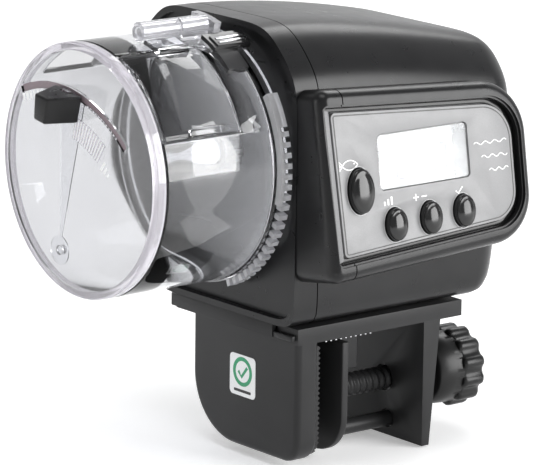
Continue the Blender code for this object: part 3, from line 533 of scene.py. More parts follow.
def housing_outline(x, inward, count=176):
    fall = max(0.0, (x - 8.0) / 54.0) ** 1.6
    supports = [(180.0, HOUSING_Y + 34.0), (135.0, 42.6 - 4.0 * fall),
                (90.0, TOP_LEFT - TOP_FALL * fall), (45.0, 34.6 - 0.8 * fall),
                (0.0, 42.0 - 4.0 * fall), (315.0, 38.7 - 2.5 * fall), (270.0, FLOOR)]
    start = HOUSING_X1 - END_RADIUS
    if x > start:
        reach = min(1.0, (x - start) / END_RADIUS)
        inward = inward + END_RADIUS * (1.0 - math.sqrt(1.0 - reach * reach))
    power = 20.0
    points = []
    for i in range(count):
        turn = 2 * math.pi * i / count
        total = 0.0
        for angle, distance in supports:
            toward = math.cos(turn - math.radians(angle))
            if toward > 0.0:
                total += (toward / (distance - inward)) ** power
        radius = total ** (-1.0 / power)
        points.append((HOUSING_Y + radius * math.cos(turn), HOUSING_Z + radius * math.sin(turn)))
    return points


def stations(first, last, radius):
    start = last - radius
    body = [first, 7.0] + [10.0 + 3.5 * i for i in range(16)]
    bend = [start + radius * math.sin(math.radians(a)) for a in range(0, 88, 6)]
    return [x for x in body if first <= x < start - 2.0] + bend


def housing_loft(name, first, last, inward):
    rings = []
    for x in stations(first, last, END_RADIUS):
        lean = END_TILT * x / HOUSING_X1
        rings.append([(x + lean * z, y, z) for y, z in housing_outline(x, inward)])
    return loft(name, rings)


def bezel_loft():
    """The control bezel: a straight back part with a broadly rolled front rim."""
    outline = rounded(BEZEL, BEZEL_R)
    roll, front = 3.4, 1.2
    profile = [(0.0, -17.0), (0.0, front - roll)]
    profile += [(roll * (1 - math.cos(math.radians(a))), front - roll * (1 - math.sin(math.radians(a))))
                for a in range(10, 91, 10)]
    rings = []
    for distance, w in profile:
        ring = inset(outline, distance * 0.75) if distance else outline
        rings.append([panel_point(x, v, w) for x, v in ring])
    return loft("bezel", rings)


def housing_inside(name):
    return housing_loft(name, INNER_X0, HOUSING_X1 - WALL, WALL)


def housing_side(first, last):
    """The hollow housing between two x, with its bezel, pocket and opening."""
    body = housing_loft("body", HOUSING_X0, HOUSING_X1, 0.0)
    inner = housing_inside("inner")
    hollow = panel_prism("hollow", rounded(CAVITY, CAVITY_R), -22.0, -1.8)
    opening = panel_prism("opening", rounded(OPENING, OPENING_R), -3.0, 4.0)
    lip = panel_prism("lip", inset(rounded(OPENING, OPENING_R), -0.5), 0.55, 4.0)
    pocket = plate_x("pocket", housing_outline(HOUSING_X0, 1.6), 0.0, 5.5)
    spindle = cylinder("spindle", (0.0, 0.0, 0.0), (12.0, 0.0, 0.0), 5.2)
    keep = box("keep", (first, -80.0, -80.0), (last, 80.0, 80.0))
    cut(join(body, bezel_loft()), inner, hollow, opening, lip, pocket, spindle)
    tool(body, keep, "INTERSECT")
    return body


def housing():
    left = housing_side(-20.0, SEAM_X - GAP / 2)
    soften(left, 0.25, 2, 50.0)
    piece("left_shell", left, "housing_black", "housing", ["left_shell"])
    main = housing_side(SEAM_X + GAP / 2, 120.0)
    cut(main, box("doorway", DOORWAY_LOW, DOORWAY_HIGH))
    soften(main, 0.25, 2, 50.0)
    piece("main_shell", main, "housing_black", "housing", ["main_shell"])


def battery_door():
    """The part of the housing's wall that fills the doorway, with finger grooves."""
    door = housing_loft("door", HOUSING_X0, HOUSING_X1, 0.0)
    inner = housing_inside("door_inner")
    edge = Vector((GAP, 0.0, GAP))
    tool(door, box("limit", Vector(DOORWAY_LOW) + edge, Vector(DOORWAY_HIGH) - edge), "INTERSECT")
    cut(door, inner)
    grooves, first, pitch = 6, -7.5, 1.6
    for i in range(grooves):
        z = first + pitch * i
        cut(door, box("grip_%d" % i, (52.0, 40.6, z), (62.0, 60.0, z + pitch / 2)))
    soften(door, 0.25, 2, 50.0)
    piece("battery_door", door, "housing_black", "battery_lid", ["battery_door"])


def index_tick():
    tick = box("tick", (3.95, -21.2, 25.2), (4.15, -18.6, 25.6))
    piece("index_tick", tick, "smoked_tab", "housing")


# ---------------------------------------------------------------- drum

def drum_tube():
    inner = DRUM_R - DRUM_WALL
    x0, length = CAP_BACK + GAP, -0.3 - (CAP_BACK + GAP)
    wall = turned("wall", [(DRUM_R, length), (DRUM_R, 0.25), (DRUM_R - 0.25, 0.0), (inner, 0.0),
                           (inner, length)], x0)
    door_hole = plate_x("door_hole", drum_sector(DOOR_LOW - 0.6, DOOR_HIGH + 0.6, 24.0, 36.0, 24),
                        DOOR_X0 - GAP - 1.5, DOOR_X1 + GAP)
    outlet = plate_x("outlet", drum_sector(*SPOUT, 24.0, 36.0, 14), -29.0, -14.0)
    cut(wall, door_hole, outlet)
    soften(wall, 0.15, 2, 45.0)
    piece("drum_tube", wall, "clear_plastic", "drum", ["drum_tube"])


def hinge_knuckle():
    y, z = drum_point(HINGE_ANGLE, HINGE_R)
    foot = plate_x("foot", drum_sector(76.0, 84.0, 31.03, 32.6, 6), -10.3, -1.0)
    knuckle = cylinder("knuckle", (-10.4, y, z), (-2.4, y, z), KNUCKLE_R)
    lug = plate_x("lug", drum_sector(73.0, 88.0, 31.03, 35.6, 10), -2.6, -0.6)
    bore = cylinder("bore", (-12.0, y, z), (-1.2, y, z), HINGE_BORE)
    cut(join(foot, knuckle, lug), bore)
    soften(foot, 0.25, 3, 45.0)
    piece("hinge_knuckle", foot, "clear_frost", "drum", ())


def filling_lid():
    """The curved lid with its catch and hinge leaf, and the barrel that turns on the pin."""
    y, z = drum_point(HINGE_ANGLE, HINGE_R)
    lid = plate_x("lid", drum_sector(DOOR_LOW, DOOR_HIGH, DRUM_R - DRUM_WALL, DRUM_R, 32),
                  DOOR_X0, DOOR_X1)
    catch = plate_x("catch", drum_sector(DOOR_LOW + 0.4, DOOR_LOW + 3.4, 30.6, 31.9, 4),
                    -24.0, -15.0)
    leaf = plate_x("leaf", drum_sector(66.0, 78.0, DRUM_R - 0.3, 32.2, 10), -21.0, -11.9)
    soften(join(lid, catch, leaf), 0.18, 2, 45.0)
    piece("drum_door", lid, "clear_plastic", "drum_lid", ["drum_door"])
    barrel = cylinder("barrel", (-22.0, y, z), (-10.9, y, z), KNUCKLE_R)
    web = plate_x("web", drum_sector(76.5, 79.5, 32.21, 33.5, 4), -20.6, -12.3)
    bore = cylinder("bore", (-23.0, y, z), (-9.0, y, z), HINGE_BORE)
    cut(join(barrel, web), bore)
    soften(barrel, 0.25, 3, 45.0)
    piece("hinge_barrel", barrel, "clear_frost", "drum_lid", ())


def end_cap():
    """The cap's rounded rim, and its disc with the lever's arc slot."""
    rim_in, depth = DRUM_R - 1.9, CAP_BACK - DRUM_END
    corner = [(DRUM_R - 0.7 + 0.7 * math.cos(math.radians(a)), 0.7 - 0.7 * math.sin(math.radians(a)))
              for a in range(0, 91, 15)]
    rim = turned("rim", corner + [(rim_in, 0.0), (rim_in, depth), (DRUM_R - 0.4, depth),
                                  (DRUM_R, depth - 0.3)], DRUM_END, 200)
    piece("cap_rim", rim, "clear_rim", "drum", ())
    disc_r = rim_in - 0.01
    cap = turned("cap", [(0.0, CAP_THICK), (disc_r, CAP_THICK), (disc_r, 0.0), (0.0, 0.0)],
                 DRUM_END, 200)
    slot = plate_x("slot", gate_sector(SLOT_FROM, SLOT_TO, GATE_R - 0.95, GATE_R + 0.95, 60),
                   DRUM_END - 2.0, DRUM_END + 4.0)
    cut(cap, slot)
    piece("drum_end_cap", cap, "clear_cap", "drum", ["drum_end_cap"])


def drum_base():
    disc = turned("disc", [(31.5, BASE_BACK - 0.2), (31.5, 0.3), (31.2, 0.0), (0.0, 0.0),
                           (0.0, 2.0), (29.5, 2.0), (29.5, BASE_BACK), (31.3, BASE_BACK)], 0.0)
    hub = cylinder("hub", (1.0, 0.0, 0.0), (7.5, 0.0, 0.0), 4.6)
    socket = cylinder("socket", (3.2, 0.0, 0.0), (10.0, 0.0, 0.0), 3.35)
    cut(join(disc, hub), socket)
    soften(disc, 0.2, 2, 50.0)
    piece("drum_base", disc, "clear_plastic", "drum", ["drum_base"])


def grip_ring():
    """The toothed finger grip round the front of the base, with a plain pad above it."""
    count, pitch, top = 20, 4.5, BASE_BACK - 0.1
    band = plate_x("band", drum_sector(-13.0, 35.5, 31.2, 33.0, 24), 0.35, 1.3)
    pad = plate_x("pad", drum_sector(20.5, 35.4, 31.2, 33.05, 10), 0.4, top)
    teeth = [plate_x("grip_%d" % i, drum_sector(16.4 - pitch * i, 18.6 - pitch * i, 31.1, 33.1, 3),
                     0.9 + 0.001 * i, top) for i in range(count)]
    join(band, pad, *teeth)
    soften(band, 0.18, 2, 50.0)
    piece("grip_ring", band, "grip_frost", "drum", ())


def dial():
    """The lever's scale on the end cap: a rose strip in the slot, raised ribs, a plain minus mark."""
    x0, x1 = DRUM_END - 0.12, DRUM_END + 0.1
    ring = plate_x("ring", gate_sector(SLOT_FROM + 0.4, SLOT_TO - 0.4, GATE_R - 0.9, GATE_R + 0.9,
                                       48), DRUM_END + 0.45, DRUM_END + 0.6)
    piece("dial_ring", ring, "dial_rose", "drum")
    gauge = plate_x("gauge", gate_sector(12.6, 34.2, 29.4, 35.0, 16), DRUM_END - 0.05,
                    DRUM_END - 0.005)
    piece("dial_gauge", gauge, "clear_rim", "drum", ())
    ribs = []
    for i in range(12):
        angle = 13.5 + 1.8 * i
        ribs.append(plate_x("rib_%d" % i, gate_sector(angle - 0.33, angle + 0.33, 29.6, 34.8, 1),
                            x0, x1))
    for i in range(6):
        angle = -9.0 - 2.3 * i
        ribs.append(plate_x("left_rib_%d" % i, gate_sector(angle - 0.45, angle + 0.45, 36.8, 38.9, 1),
                            x0, x1))
    for angle, low, high in ((38.0, 28.8, 31.6), (40.6, 29.3, 31.1), (43.2, 29.7, 30.7)):
        ribs.append(plate_x("mark_%d" % angle, gate_sector(angle - 0.5, angle + 0.5, low, high, 1),
                            x0, x1))
    join(ribs[0], *ribs[1:])
    tool(ribs[0], cylinder("disc", (x0 - 1.0, 0.0, 0.0), (DRUM_END + 1.0, 0.0, 0.0), 30.4, 160),
         "INTERSECT")
    piece("dial_ribs", ribs[0], "dial_white", "drum")


def feed_gate():
    """The lever's arm behind the cap, with the post through the slot, and its pivot pin."""
    x0 = DRUM_END + CAP_THICK + GAP
    arm = plate_x("arm", [gate_point(GATE_REST + 6.0, 3.0), gate_point(GATE_REST + 7.0, 30.0)]
                  + gate_sector(GATE_REST - 7.0, GATE_REST + 7.0, 30.0, 40.9, 8)[0:9][::-1]
                  + [gate_point(GATE_REST - 7.0, 30.0), gate_point(GATE_REST - 6.0, 3.0)],
                  x0, x0 + 0.25)
    boss = cylinder("boss", (x0 + 0.01, *GATE_PIVOT), (x0 + 0.24, *GATE_PIVOT), 3.6)
    bore = cylinder("bore", (x0 - 1.0, *GATE_PIVOT), (x0 + 4.0, *GATE_PIVOT), 1.3)
    post = plate_x("post", gate_sector(GATE_REST - 2.2, GATE_REST + 2.2, GATE_R - 0.6,
                                       GATE_R + 0.6, 2), DRUM_END - 1.6, x0 + 0.6)
    cut(join(arm, boss, post), bore)
    piece("feed_gate", arm, "clear_plastic", "feed_lever", ["feed_gate"])

    pin = cylinder("pin", (DRUM_END + 1.31, *GATE_PIVOT), (x0 + 1.5, *GATE_PIVOT), 1.2)
    soften(pin, 0.2, 2, 45.0)
    piece("gate_pivot_pin", pin, "clear_plastic", "drum", ["gate_pivot_pin"])


def slider_knob():
    x_base, x_tip = DRUM_END - GAP, DRUM_END - 9.0
    base = [(7.7, 34.0), (-7.7, 34.0), (-7.7, 40.9), (7.7, 40.9)]
    tip = [(4.6, 33.9), (-2.8, 33.9), (-2.8, 40.3), (4.6, 40.3)]
    knob = loft("knob", [[(x, *gate_point(GATE_REST + a, r)) for a, r in ring]
                         for x, ring in ((x_base, base), (x_tip, tip))])
    soften(knob, 0.55, 4)
    socket = plate_x("socket", gate_sector(GATE_REST - 2.6, GATE_REST + 2.6, GATE_R - 0.92,
                                           GATE_R + 0.90, 2), DRUM_END - 2.0, DRUM_END + 2.0)
    cut(knob, socket)
    piece("slider_knob", knob, "knob_black", "feed_lever", ["slider_knob"])


def latch():
    tab = plate_x("tab", drum_sector(60.0, 70.0, 32.9, 34.0, 8), -7.5, 3.2)
    stem = plate_x("stem", drum_sector(49.0, 62.0, 31.35, 33.2, 8), -7.0, -1.0)
    bar = plate_x("bar", drum_sector(60.8, 67.4, 33.6, 34.4, 6), -6.4, 3.19)
    join(tab, stem, bar)
    soften(tab, 0.22, 3, 40.0)
    piece("drum_lock_tab", tab, "smoked_tab", "drum", ["drum_lock_tab"])
    ribs = [plate_x("rib_%d" % i, drum_sector(62.2 + 2.3 * i, 63.4 + 2.3 * i, 33.8, 34.7, 3),
                    -5.6, 3.15) for i in range(2)]
    join(ribs[0], *ribs[1:])
    soften(ribs[0], 0.22, 3, 40.0)
    piece("tab_ribs", ribs[0], "silver_and_glint", "drum")


# ---------------------------------------------------------------- control panel

def panel_trim():
    trim = panel_prism("trim", rounded(TRIM, TRIM_R), -1.5, -0.92)
    cut(trim, panel_prism("hole", rounded(PLATE, PLATE_R), -4.0, 4.0))
    soften(trim, 0.12, 2, 45.0)
    piece("panel_trim", trim, "trim_black", "housing", ["panel_trim"])
    strip = panel_prism("strip", STRIP, -0.9, -0.1)
    soften(strip, 0.15, 2, 45.0)
    piece("trim_strip", strip, "strip_silver", "housing", ())


def panel_plate():
    plate = panel_prism("plate", rounded(FACE, FACE_R), -2.4, 0.0)
    flange = panel_prism("flange", rounded(FLANGE, FLANGE_R), -3.2, -2.1)
    join(plate, flange)
    for x, v, width, height in BUTTONS.values():
        cut(plate, panel_prism("hole", ellipse((x, v), (width + 0.6, height + 0.6)), -6.0, 4.0))
    x, v, width, height = LCD
    cut(plate, panel_prism("lcd_hole", rounded_box((x, v), (width + 0.6, height + 0.6), 1.2),
                           -6.0, 4.0))
    soften(plate, 0.1, 2, 45.0)
    piece("panel_plate", plate, "panel_grey", "housing", ["panel_plate"])


def display():
    """The window, and the display with its face raised to just behind it."""
    x, v, width, height = LCD
    window = panel_prism("window", rounded_box((x, v), (width, height), 0.9), -0.6, -0.1)
    soften(window, 0.12, 2, 45.0)
    piece("lcd_window", window, "clear_window", "housing", ["lcd_window"])
    glass = panel_prism("glass", rounded_box((x, v), (width + 3.0, height + 3.0), 0.4, 2),
                        -6.0, -3.6)
    raised = panel_prism("raised", rounded_box((x, v), (width + 0.4, height + 0.4), 1.0),
                         -4.0, LCD_FACE)
    soften(join(glass, raised), 0.1, 2, 45.0)
    piece("lcd_display", glass, "display", "housing", ["lcd_display"])
    half = height / 2
    stripe = panel_prism("stripe", [(45.4, v - half + 0.1), (49.4, v - half + 0.2),
                                    (49.4, v + half - 0.2), (45.4, v + half - 0.1)],
                         LCD_FACE - 0.02, LCD_FACE + 0.04)
    piece("lcd_stripe", stripe, "display_stripe", "housing")


def outline_ring(name, points, width, w0, w1):
    ring = panel_prism(name, inset(points, -width), w0, w1)
    return cut(ring, panel_prism(name + "_in", points, w0 - 1.0, w1 + 1.0))


def stroke(points, width):
    """The outline of a line of the given width through (x, v) points."""
    left, right = [], []
    for i, point in enumerate(points):
        here = Vector(point)
        before = Vector(points[max(0, i - 1)])
        after = Vector(points[min(len(points) - 1, i + 1)])
        along = (after - before).normalized()
        side = Vector((-along.y, along.x)) * width / 2
        left.append(tuple(here + side))
        right.append(tuple(here - side))
    return left + right[::-1]


def print_outlines():
    """Thin raised lines round the panel's edge and the buttons' holes."""
    face = rounded(FACE, FACE_R)
    border = panel_prism("border", inset(face, 0.5), PRINT_LOW, PRINT_HIGH)
    cut(border, panel_prism("border_in", inset(face, 0.8), -1.0, 1.0))
    piece("print_border", border, "print_black", "housing")
    rings = []
    for name, (x, v, width, height) in BUTTONS.items():
        rings.append(outline_ring("ring_" + name, ellipse((x, v), (width + 0.7, height + 0.7)),
                                  0.14, PRINT_LOW, PRINT_HIGH))
    join(rings[0], *rings[1:])
    piece("print_rings", rings[0], "ring_grey", "housing")


def print_fish():
    """A plain fish outline over the feed button; each stroke has a depth of its own."""
    x, v, steps = 12.3, 3.25, 24
    body = []
    for i in range(steps + 1):
        share = i / steps
        body.append((x + 2.6 - 4.9 * share, v + 1.15 * math.sin(math.pi * share) ** 0.8
                     - 0.9 * max(0.0, share - 0.8)))
    belly = [(px, 2 * v - pv) for px, pv in body]
    tail = [(x - 2.1, v + 0.1), (x - 3.1, v + 1.1), (x - 2.9, v), (x - 3.1, v - 1.1),
            (x - 2.1, v - 0.1)]
    root = [body[-1], (x - 2.95, v)]
    fish = panel_prism("fish", stroke(body, LINE), PRINT_LOW, PRINT_HIGH)
    join(fish, panel_prism("belly", stroke(belly, LINE), -0.02, PRINT_HIGH),
         panel_prism("tail", stroke(tail, LINE), -0.03, PRINT_HIGH),
         panel_prism("tail_root", stroke(root, LINE), -0.015, PRINT_HIGH),
         panel_prism("eye", ellipse((x + 1.5, v + 0.25), (0.4, 0.4), 16), -0.025, PRINT_HIGH))
    piece("print_fish", fish, "print_white", "housing")


def print_marks():
    """Plain symbols over three buttons (bars, plus and minus, a tick) and three waves at the right."""
    marks, thick, long = [], 0.32, 1.7
    for i in range(3):
        bar = rounded_box((22.2 + 1.1 * i, -7.2 + 0.25 * i), (0.5, 1.0 + 0.5 * i), 0.1, 2)
        marks.append(panel_prism("bar_%d" % i, bar, PRINT_LOW, PRINT_HIGH))
    for i, (dx, w, h) in enumerate(((0.0, long, thick), (0.0, thick, long), (2.6, long, thick))):
        sign = rounded_box((32.0 + dx, -6.9), (w, h), 0.08, 2)
        marks.append(panel_prism("sign_%d" % i, sign, PRINT_LOW - 0.002 * i, PRINT_HIGH))
    marks.append(panel_prism("tick", stroke([(44.7, -6.9), (45.4, -7.6), (46.9, -6.1)], thick),
                             PRINT_LOW, PRINT_HIGH))
    steps = 40
    for row in range(3):
        wave = []
        width = 10.5 - 2.2 * row
        for i in range(steps + 1):
            share = i / steps
            wave.append((62.1 - width * (1 - share),
                         3.6 - 3.4 * row + 0.34 * math.sin(share * math.pi * (7 - row))))
        marks.append(panel_prism("wave_%d" % row, stroke(wave, 0.2), PRINT_LOW, PRINT_HIGH))
    join(marks[0], *marks[1:])
    piece("print_marks", marks[0], "print_white", "housing")


def segment(x0, letter):
    """One segment of a seven-segment digit: its centre x, v and its width and height."""
    wide, high, thick, base = DIGIT_WIDE, DIGIT_HIGH, DIGIT_LINE, DIGIT_BASE
    if letter in "agd":
        share = {"a": 1.0, "g": 0.5, "d": 0.0}[letter]
        return x0, base + high * share, wide, thick
    side = wide / 2 if letter in "bc" else -wide / 2
    return x0 + side, base + high * (0.75 if letter in "fb" else 0.25), thick, high / 2


def digits():
    bars, low, top, space = [], LCD_FACE - 0.03, LCD_FACE + 0.05, 0.75
    for digit, x0 in DISPLAY_TIME:
        for letter in SEGMENTS[digit]:
            x, v, w, h = segment(x0, letter)
            w, h = (w - space, h) if w > h else (w, h - space)
            bars.append(panel_prism("seg", rounded_box((x, v), (w, h), 0.28, 3), low, top))
    for v in (0.2, 3.0):
        bars.append(panel_prism("colon", rounded_box((32.4, v), (0.7, 0.7), 0.1, 2), low, top))
    join(bars[0], *bars[1:])
    piece("lcd_digits", bars[0], "display_digits", "housing")


def buttons():
    for name, (x, v, width, height) in BUTTONS.items():
        rings = []
        profile = [(1.0, -2.9), (1.0, 1.0)] + [
            (1.0 - 0.2 * (1 - math.cos(math.radians(a))), 1.0 + 0.75 * math.sin(math.radians(a)))
            for a in (20, 40, 60, 75, 90)] + [(0.7, 1.98), (0.55, 2.16), (0.4, 2.28), (0.25, 2.35),
                                              (0.1, 2.39)]
        for scale, w in profile:
            rings.append([panel_point(px, pv, w) for px, pv in
                          ellipse((x, v), (width * scale, height * scale), 72)])
        dome = loft("dome", rings)
        join(dome, panel_prism("flange", ellipse((x, v), (width + 1.6, height + 1.6)), -4.6, -3.5),
             panel_prism("stem", rounded_box((x, v), (2.4, 2.4), 0.4, 2), -4.9, -2.5))
        piece("button_" + name, dome, "button_black", name + "_button", ["button_" + name],
              50.0)


# ---------------------------------------------------------------- clamp

def jaw_outline(front, back, top, bottom, front_r, back_r):
    return rounded([(front, top), (back, top), (back, bottom), (front, bottom)],
                   [0.0, 0.0, back_r, front_r], 16)


def bracket():
    rail = box("rail", (JAW_X0, CLAMP_FRONT, RAIL_BOTTOM), (58.2, 15.0, RAIL_TOP))
    flange = box("flange", (4.4, -25.0, -41.4), (JAW_X0 + 1.0, 15.0, RAIL_TOP))
    relief = box("relief", (JAW_X1 + 0.2, CLAMP_FRONT + 4.0, -50.0), (45.8, 30.0, -41.3))
    cut(rail, relief)
    jaw = plate_x("jaw", jaw_outline(CLAMP_FRONT, CLAMP_BACK, RAIL_TOP - 1.0, JAW_BOTTOM,
                                     6.0, 16.0), JAW_X0 + 0.01, JAW_X1 - 0.6)
    soften(jaw, 1.6, 5, 60.0)
    pitch, top, teeth = 1.25, RAIL_BOTTOM - 1.0, 22
    comb = [(JAW_X0 + 3.0, top)]
    for i in range(teeth):
        comb += [(JAW_X1 - 0.7, top - pitch * i), (JAW_X1 - 0.02, top - pitch * (i + 0.5))]
    comb += [(JAW_X1 - 0.7, top - pitch * teeth), (JAW_X0 + 3.0, top - pitch * teeth)]
    ribs = plate_y("ribs", comb, CLAMP_FRONT + 0.4, CLAMP_BACK - 0.4)
    limit = plate_x("limit", jaw_outline(CLAMP_FRONT + 0.3, CLAMP_BACK - 0.3, -30.0,
                                         JAW_BOTTOM + 0.3, 5.8, 15.8), 0.0, 30.0)
    tool(ribs, limit, "INTERSECT")
    end_plate = plate_y("end_plate", END_PLATE, CLAMP_FRONT + 0.02, CLAMP_BACK - 4.0)
    join(rail, flange, jaw, ribs, end_plate)
    for i, (x, y) in enumerate(BRACKET_SCREWS):
        cut(rail, cylinder("bore_%d" % i, (x, y, -50.0), (x, y, -36.0), 1.4),
            cylinder("recess_%d" % i, (x, y, -50.0), (x, y, -39.8), 2.6))
    cut(rail, cylinder("screw_hole", (40.0, SCREW_Y, SCREW_Z), (56.0, SCREW_Y, SCREW_Z), 3.4),
        cylinder("rod_hole", (40.0, ROD_Y, ROD_Z), (56.0, ROD_Y, ROD_Z), 2.35))
    soften(rail, 0.3, 3, 50.0)
    piece("clamp_bracket", rail, "clamp_black", "housing", ["clamp_bracket"])


def rail_fittings():
    """The small bar beside the rail's flange and the row of studs under its front edge; the studs are
    silver as a painted glint for the highlights on the rack's tooth tips.
    """
    bar = box("bar", (4.6, -32.3, -41.3), (JAW_X0 - 0.01, -25.02, -39.9))
    soften(bar, 0.3, 3, 40.0)
    piece("rail_bar", bar, "clamp_black", "housing")
    count, first, pitch, y = 10, 15.2, 1.55, CLAMP_FRONT + 0.6
    studs = [cylinder("stud_%d" % i, (first + pitch * i, y, RAIL_BOTTOM - 0.35),
                      (first + pitch * i, y, RAIL_BOTTOM + 0.3), 0.28, 16, 0.34)
             for i in range(count)]
    join(studs[0], *studs[1:])
    # painted glint: the studs are silver so they show as the bright highlights on the black rack's
    # teeth
    piece("rail_studs", studs[0], "silver_and_glint", "housing")


def moving_jaw():
    jaw = plate_x("jaw", jaw_outline(CLAMP_FRONT, 3.0, JAW_TOP, JAW_BOTTOM, 10.0, 10.0),
                  MOVING_X0, MOVING_X1)
    block = box("block", BLOCK_LOW, BLOCK_HIGH)
    socket = cylinder("socket", (MOVING_X1 - 0.5, SCREW_Y, SCREW_Z), (27.0, SCREW_Y, SCREW_Z), 5.4)
    bore = cylinder("bore", (MOVING_X1 - 0.6, SCREW_Y, SCREW_Z), (30.0, SCREW_Y, SCREW_Z), 3.4)
    seat = cylinder("seat", (MOVING_X1 - 1.2, ROD_Y, ROD_Z), (30.0, ROD_Y, ROD_Z), 2.3)
    cut(join(jaw, block, socket), bore, seat)
    soften(jaw, 0.35, 3, 50.0)
    piece("jaw_plate", jaw, "clamp_black", "jaw", ["jaw_plate"])


def guide_rod():
    start, end = MOVING_X1 - 0.9, 56.0
    rod = turned("rod", [(0.0, end - start), (1.6, end - start), (2.0, end - start - 0.4),
                         (2.0, 0.3), (1.7, 0.0), (0.0, 0.0)], start, 64, ROD_Y, ROD_Z)
    piece("guide_rod", rod, "clamp_black", "jaw", ["guide_rod"])


def threaded_screw():
    """The clamp screw: a right-hand thread with plain ends."""
    start, end = MOVING_X1 - 0.3, 66.0
    around, rings = 40, []
    count = int((end - start) / 0.2)
    for i in range(count + 1):
        x = start + (end - start) * i / count
        ring = []
        for k in range(around):
            turn = 2 * math.pi * k / around
            phase = ((x - start) / THREAD_PITCH - k / around) % 1.0
            radius = THREAD_R - THREAD_DEPTH * abs(2.0 * phase - 1.0) ** 1.2
            if x < start + 3.0 or x > 57.0:
                radius = PLAIN_R
            ring.append((x, SCREW_Y + radius * math.cos(turn), SCREW_Z + radius * math.sin(turn)))
        rings.append(ring)
    piece("clamp_screw", loft("screw", rings), "clamp_black", "screw", ["clamp_screw"],
          60.0)


def knob_ring(x, shrink, lobes=12, mean=9.8, depth=0.5, count=240):
    ring = []
    for i in range(count):
        turn = 2 * math.pi * i / count
        wave = math.cos(lobes * (turn - math.radians(15.0)))
        radius = mean + depth * (abs(wave) ** 0.7 * (1 if wave > 0 else -1)) - shrink
        ring.append((x, SCREW_Y + radius * math.cos(turn), SCREW_Z + radius * math.sin(turn)))
    return ring


def clamp_knob():
    """The lobed knob, its rounded edges given as distance from the back or front and shrink."""
    back = [(0.0, 1.0), (0.15, 0.45), (0.6, 0.1), (1.2, 0.0)]
    front = [(-1.4, 0.0), (-0.7, 0.15), (-0.2, 0.6), (0.0, 1.3)]
    knob = loft("knob", [knob_ring(KNOB_BACK + dx, shrink) for dx, shrink in back]
                + [knob_ring(KNOB_FRONT + dx, shrink) for dx, shrink in front])
    skirt = turned("skirt", [(0.0, 7.5), (9.2, 7.5), (9.1, 5.0), (8.7, 0.5), (8.2, 0.0), (0.0, 0.0)],
                   57.5, 120, SCREW_Y, SCREW_Z)
    dish = turned("dish", [(6.4, 0.0), (6.8, 2.0), (0.0, 2.0), (0.0, -1.2), (5.6, -1.2)],
                  KNOB_FRONT, 96, SCREW_Y, SCREW_Z)
    bore = cylinder("bore", (50.0, SCREW_Y, SCREW_Z), (66.3, SCREW_Y, SCREW_Z), 3.3)
    cut(join(knob, skirt), bore, dish)
    piece("clamp_knob", knob, "knob_black", "screw", ["clamp_knob"], 50.0)


def sticker():
    """A plain round-cornered label on the fixed jaw: a green ring with a tick."""
    def label(name, points, depth):
        return plate_x(name, points, JAW_X0 - depth, JAW_X0 + 0.05)

    back = label("back", rounded_box((LABEL_Y, -54.2), (10.0, 10.4), 1.2, 8), 0.06)
    piece("label_back", back, "sticker_white", "housing")
    middle = (LABEL_Y, -53.2)
    ring = label("ring", ellipse(middle, (7.4, 7.4), 72), LABEL_PRINT)
    cut(ring, plate_x("ring_in", ellipse(middle, (5.4, 5.4), 72), 0.0, 20.0))
    check = [(-10.2, -53.2), (-11.4, -54.6), (-13.6, -51.9)]
    join(ring, label("check", stroke(check, 0.8), LABEL_PRINT))
    piece("label_ring", ring, "sticker_green", "housing")
    bar = label("bar", rounded_box((LABEL_Y, -58.1), (6.6, 0.7), 0.2, 3), LABEL_PRINT)
    piece("label_bar", bar, "print_black", "housing")


# ---------------------------------------------------------------- the CAD nodes that stay

def finish_cad_nodes():
    """Gives each CAD node that still shows its material and softened edges."""
    slots = {row["node"]: row["material_slot"] for row in frame["record"]["subparts"]}
    for name, node in NODES.items():
        node.data.materials.clear()
        node.data.materials.append(LOOKS[slots[name]])
        if node.hide_render:
            continue
        weld = node.modifiers.new("weld", "WELD")
        weld.merge_threshold = 0.000002
        soften(node, 0.08, 2, 40.0)


# ---------------------------------------------------------------- stage

def sky():
    bpy.context.scene.view_settings.view_transform = "Standard"
    world = bpy.data.worlds.new("studio")
    bpy.context.scene.world = world
    world.use_nodes = True
    back = world.node_tree.nodes["Background"]
    back.inputs["Color"].default_value = (0.97, 0.98, 1.0, 1.0)
    back.inputs["Strength"].default_value = 0.42


def backdrop():
    """A white floor that sweeps up behind the feeder, square to the camera."""
    low = CAD_BOX[0]
    bm = bmesh.new()
    sweep = [(-3.0, 0.0), (1.2, 0.0)] + [(1.2 + 0.8 * math.sin(math.radians(a)),
                                         0.8 - 0.8 * math.cos(math.radians(a)))
                                        for a in range(6, 91, 6)] + [(2.0, 3.0)]
    rows = [[bm.verts.new((x, y, low.z - 0.0005 + z)) for x in (-4.0, 4.0)] for y, z in sweep]
    for near, far in zip(rows, rows[1:]):
        bm.faces.new((near[0], near[1], far[1], far[0]))
    mesh = bpy.data.meshes.new("backdrop")
    bm.to_mesh(mesh)
    bm.free()
    mesh.shade_smooth()
    floor = bpy.data.objects.new("backdrop", mesh)
    bpy.context.scene.collection.objects.link(floor)
    floor.rotation_euler = (0.0, 0.0, -CAMERA_TURN)
    made, tree, shader = new_material("backdrop", (0.95, 0.95, 0.95), 0.8)
    tree.links.new(ramp(tree, noise(tree, 8.0), 0.93, 0.96), shader.inputs["Base Color"])
    shader.inputs["Specular IOR Level"].default_value = 0.1
    shader.inputs["Emission Color"].default_value = (1.0, 1.0, 1.0, 1.0)
    shader.inputs["Emission Strength"].default_value = 0.30
    mesh.materials.append(made)


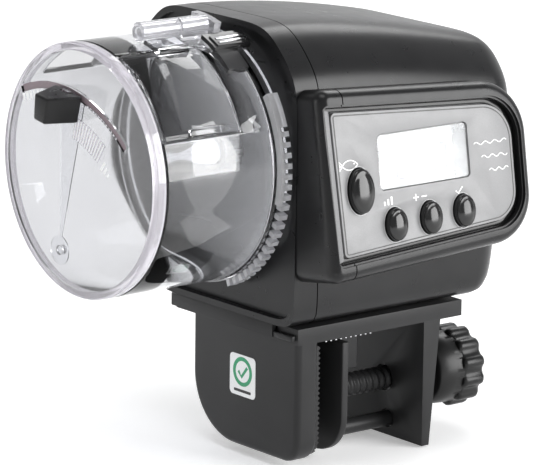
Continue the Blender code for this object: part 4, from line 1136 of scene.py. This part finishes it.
def softbox(name, azimuth, elevation, size, radiance, distance=0.9):
    """A softbox seen from the feeder at the given angles; azimuth 0 is the feeder's front."""
    middle = (CAD_BOX[0] + CAD_BOX[1]) / 2
    turn, rise = math.radians(azimuth), math.radians(elevation)
    aim = Vector((math.sin(turn) * math.cos(rise), -math.cos(turn) * math.cos(rise),
                  math.sin(rise)))
    lamp = bpy.data.lights.new(name, "AREA")
    lamp.shape = "RECTANGLE"
    lamp.size, lamp.size_y = size
    lamp.energy = radiance * 4.0 * size[0] * size[1]
    thing = bpy.data.objects.new(name, lamp)
    bpy.context.scene.collection.objects.link(thing)
    thing.location = middle + aim * distance
    thing.rotation_euler = (-aim).to_track_quat("-Z", "Y").to_euler()


def lights():
    softbox("front_box", 31.0, 9.0, (0.62, 0.80), 6.5)
    softbox("back_right_box", 118.0, 42.0, (0.34, 0.30), 3.2)
    softbox("left_strip", -104.0, 8.0, (0.10, 0.50), 5.0, 0.8)
    softbox("top_box", -60.0, 74.0, (0.50, 0.40), 2.6)


def camera():
    turn, tilt, roll = CAMERA_TURN, CAMERA_TILT, CAMERA_ROLL
    right = Vector((math.cos(turn), -math.sin(turn), 0.0))
    up = Vector((math.sin(turn) * math.sin(tilt), math.cos(turn) * math.sin(tilt), math.cos(tilt)))
    forward = right.cross(up) * -1.0
    side = right * math.cos(roll) + up * math.sin(roll)
    above = up * math.cos(roll) - right * math.sin(roll)
    lens = bpy.data.cameras.new("camera")
    lens.sensor_width = SENSOR
    lens.lens = FOCAL_LENGTH
    lens.clip_start = 0.1
    eye = bpy.data.objects.new("camera", lens)
    bpy.context.scene.collection.objects.link(eye)
    axes = Matrix((side, above, -forward)).transposed().to_4x4()
    eye.matrix_world = Matrix.Translation(CAMERA_PLACE) @ axes
    bpy.context.scene.camera = eye


def main():
    for build in (camera, sky, backdrop, lights,
                  housing, battery_door, index_tick,
                  drum_tube, hinge_knuckle, filling_lid, end_cap, drum_base, grip_ring,
                  dial, feed_gate, slider_knob, latch,
                  panel_trim, panel_plate, display,
                  print_outlines, print_fish, print_marks, digits, buttons,
                  bracket, rail_fittings, moving_jaw, guide_rod, threaded_screw, clamp_knob,
                  sticker, finish_cad_nodes):
        build()
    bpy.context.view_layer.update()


main()
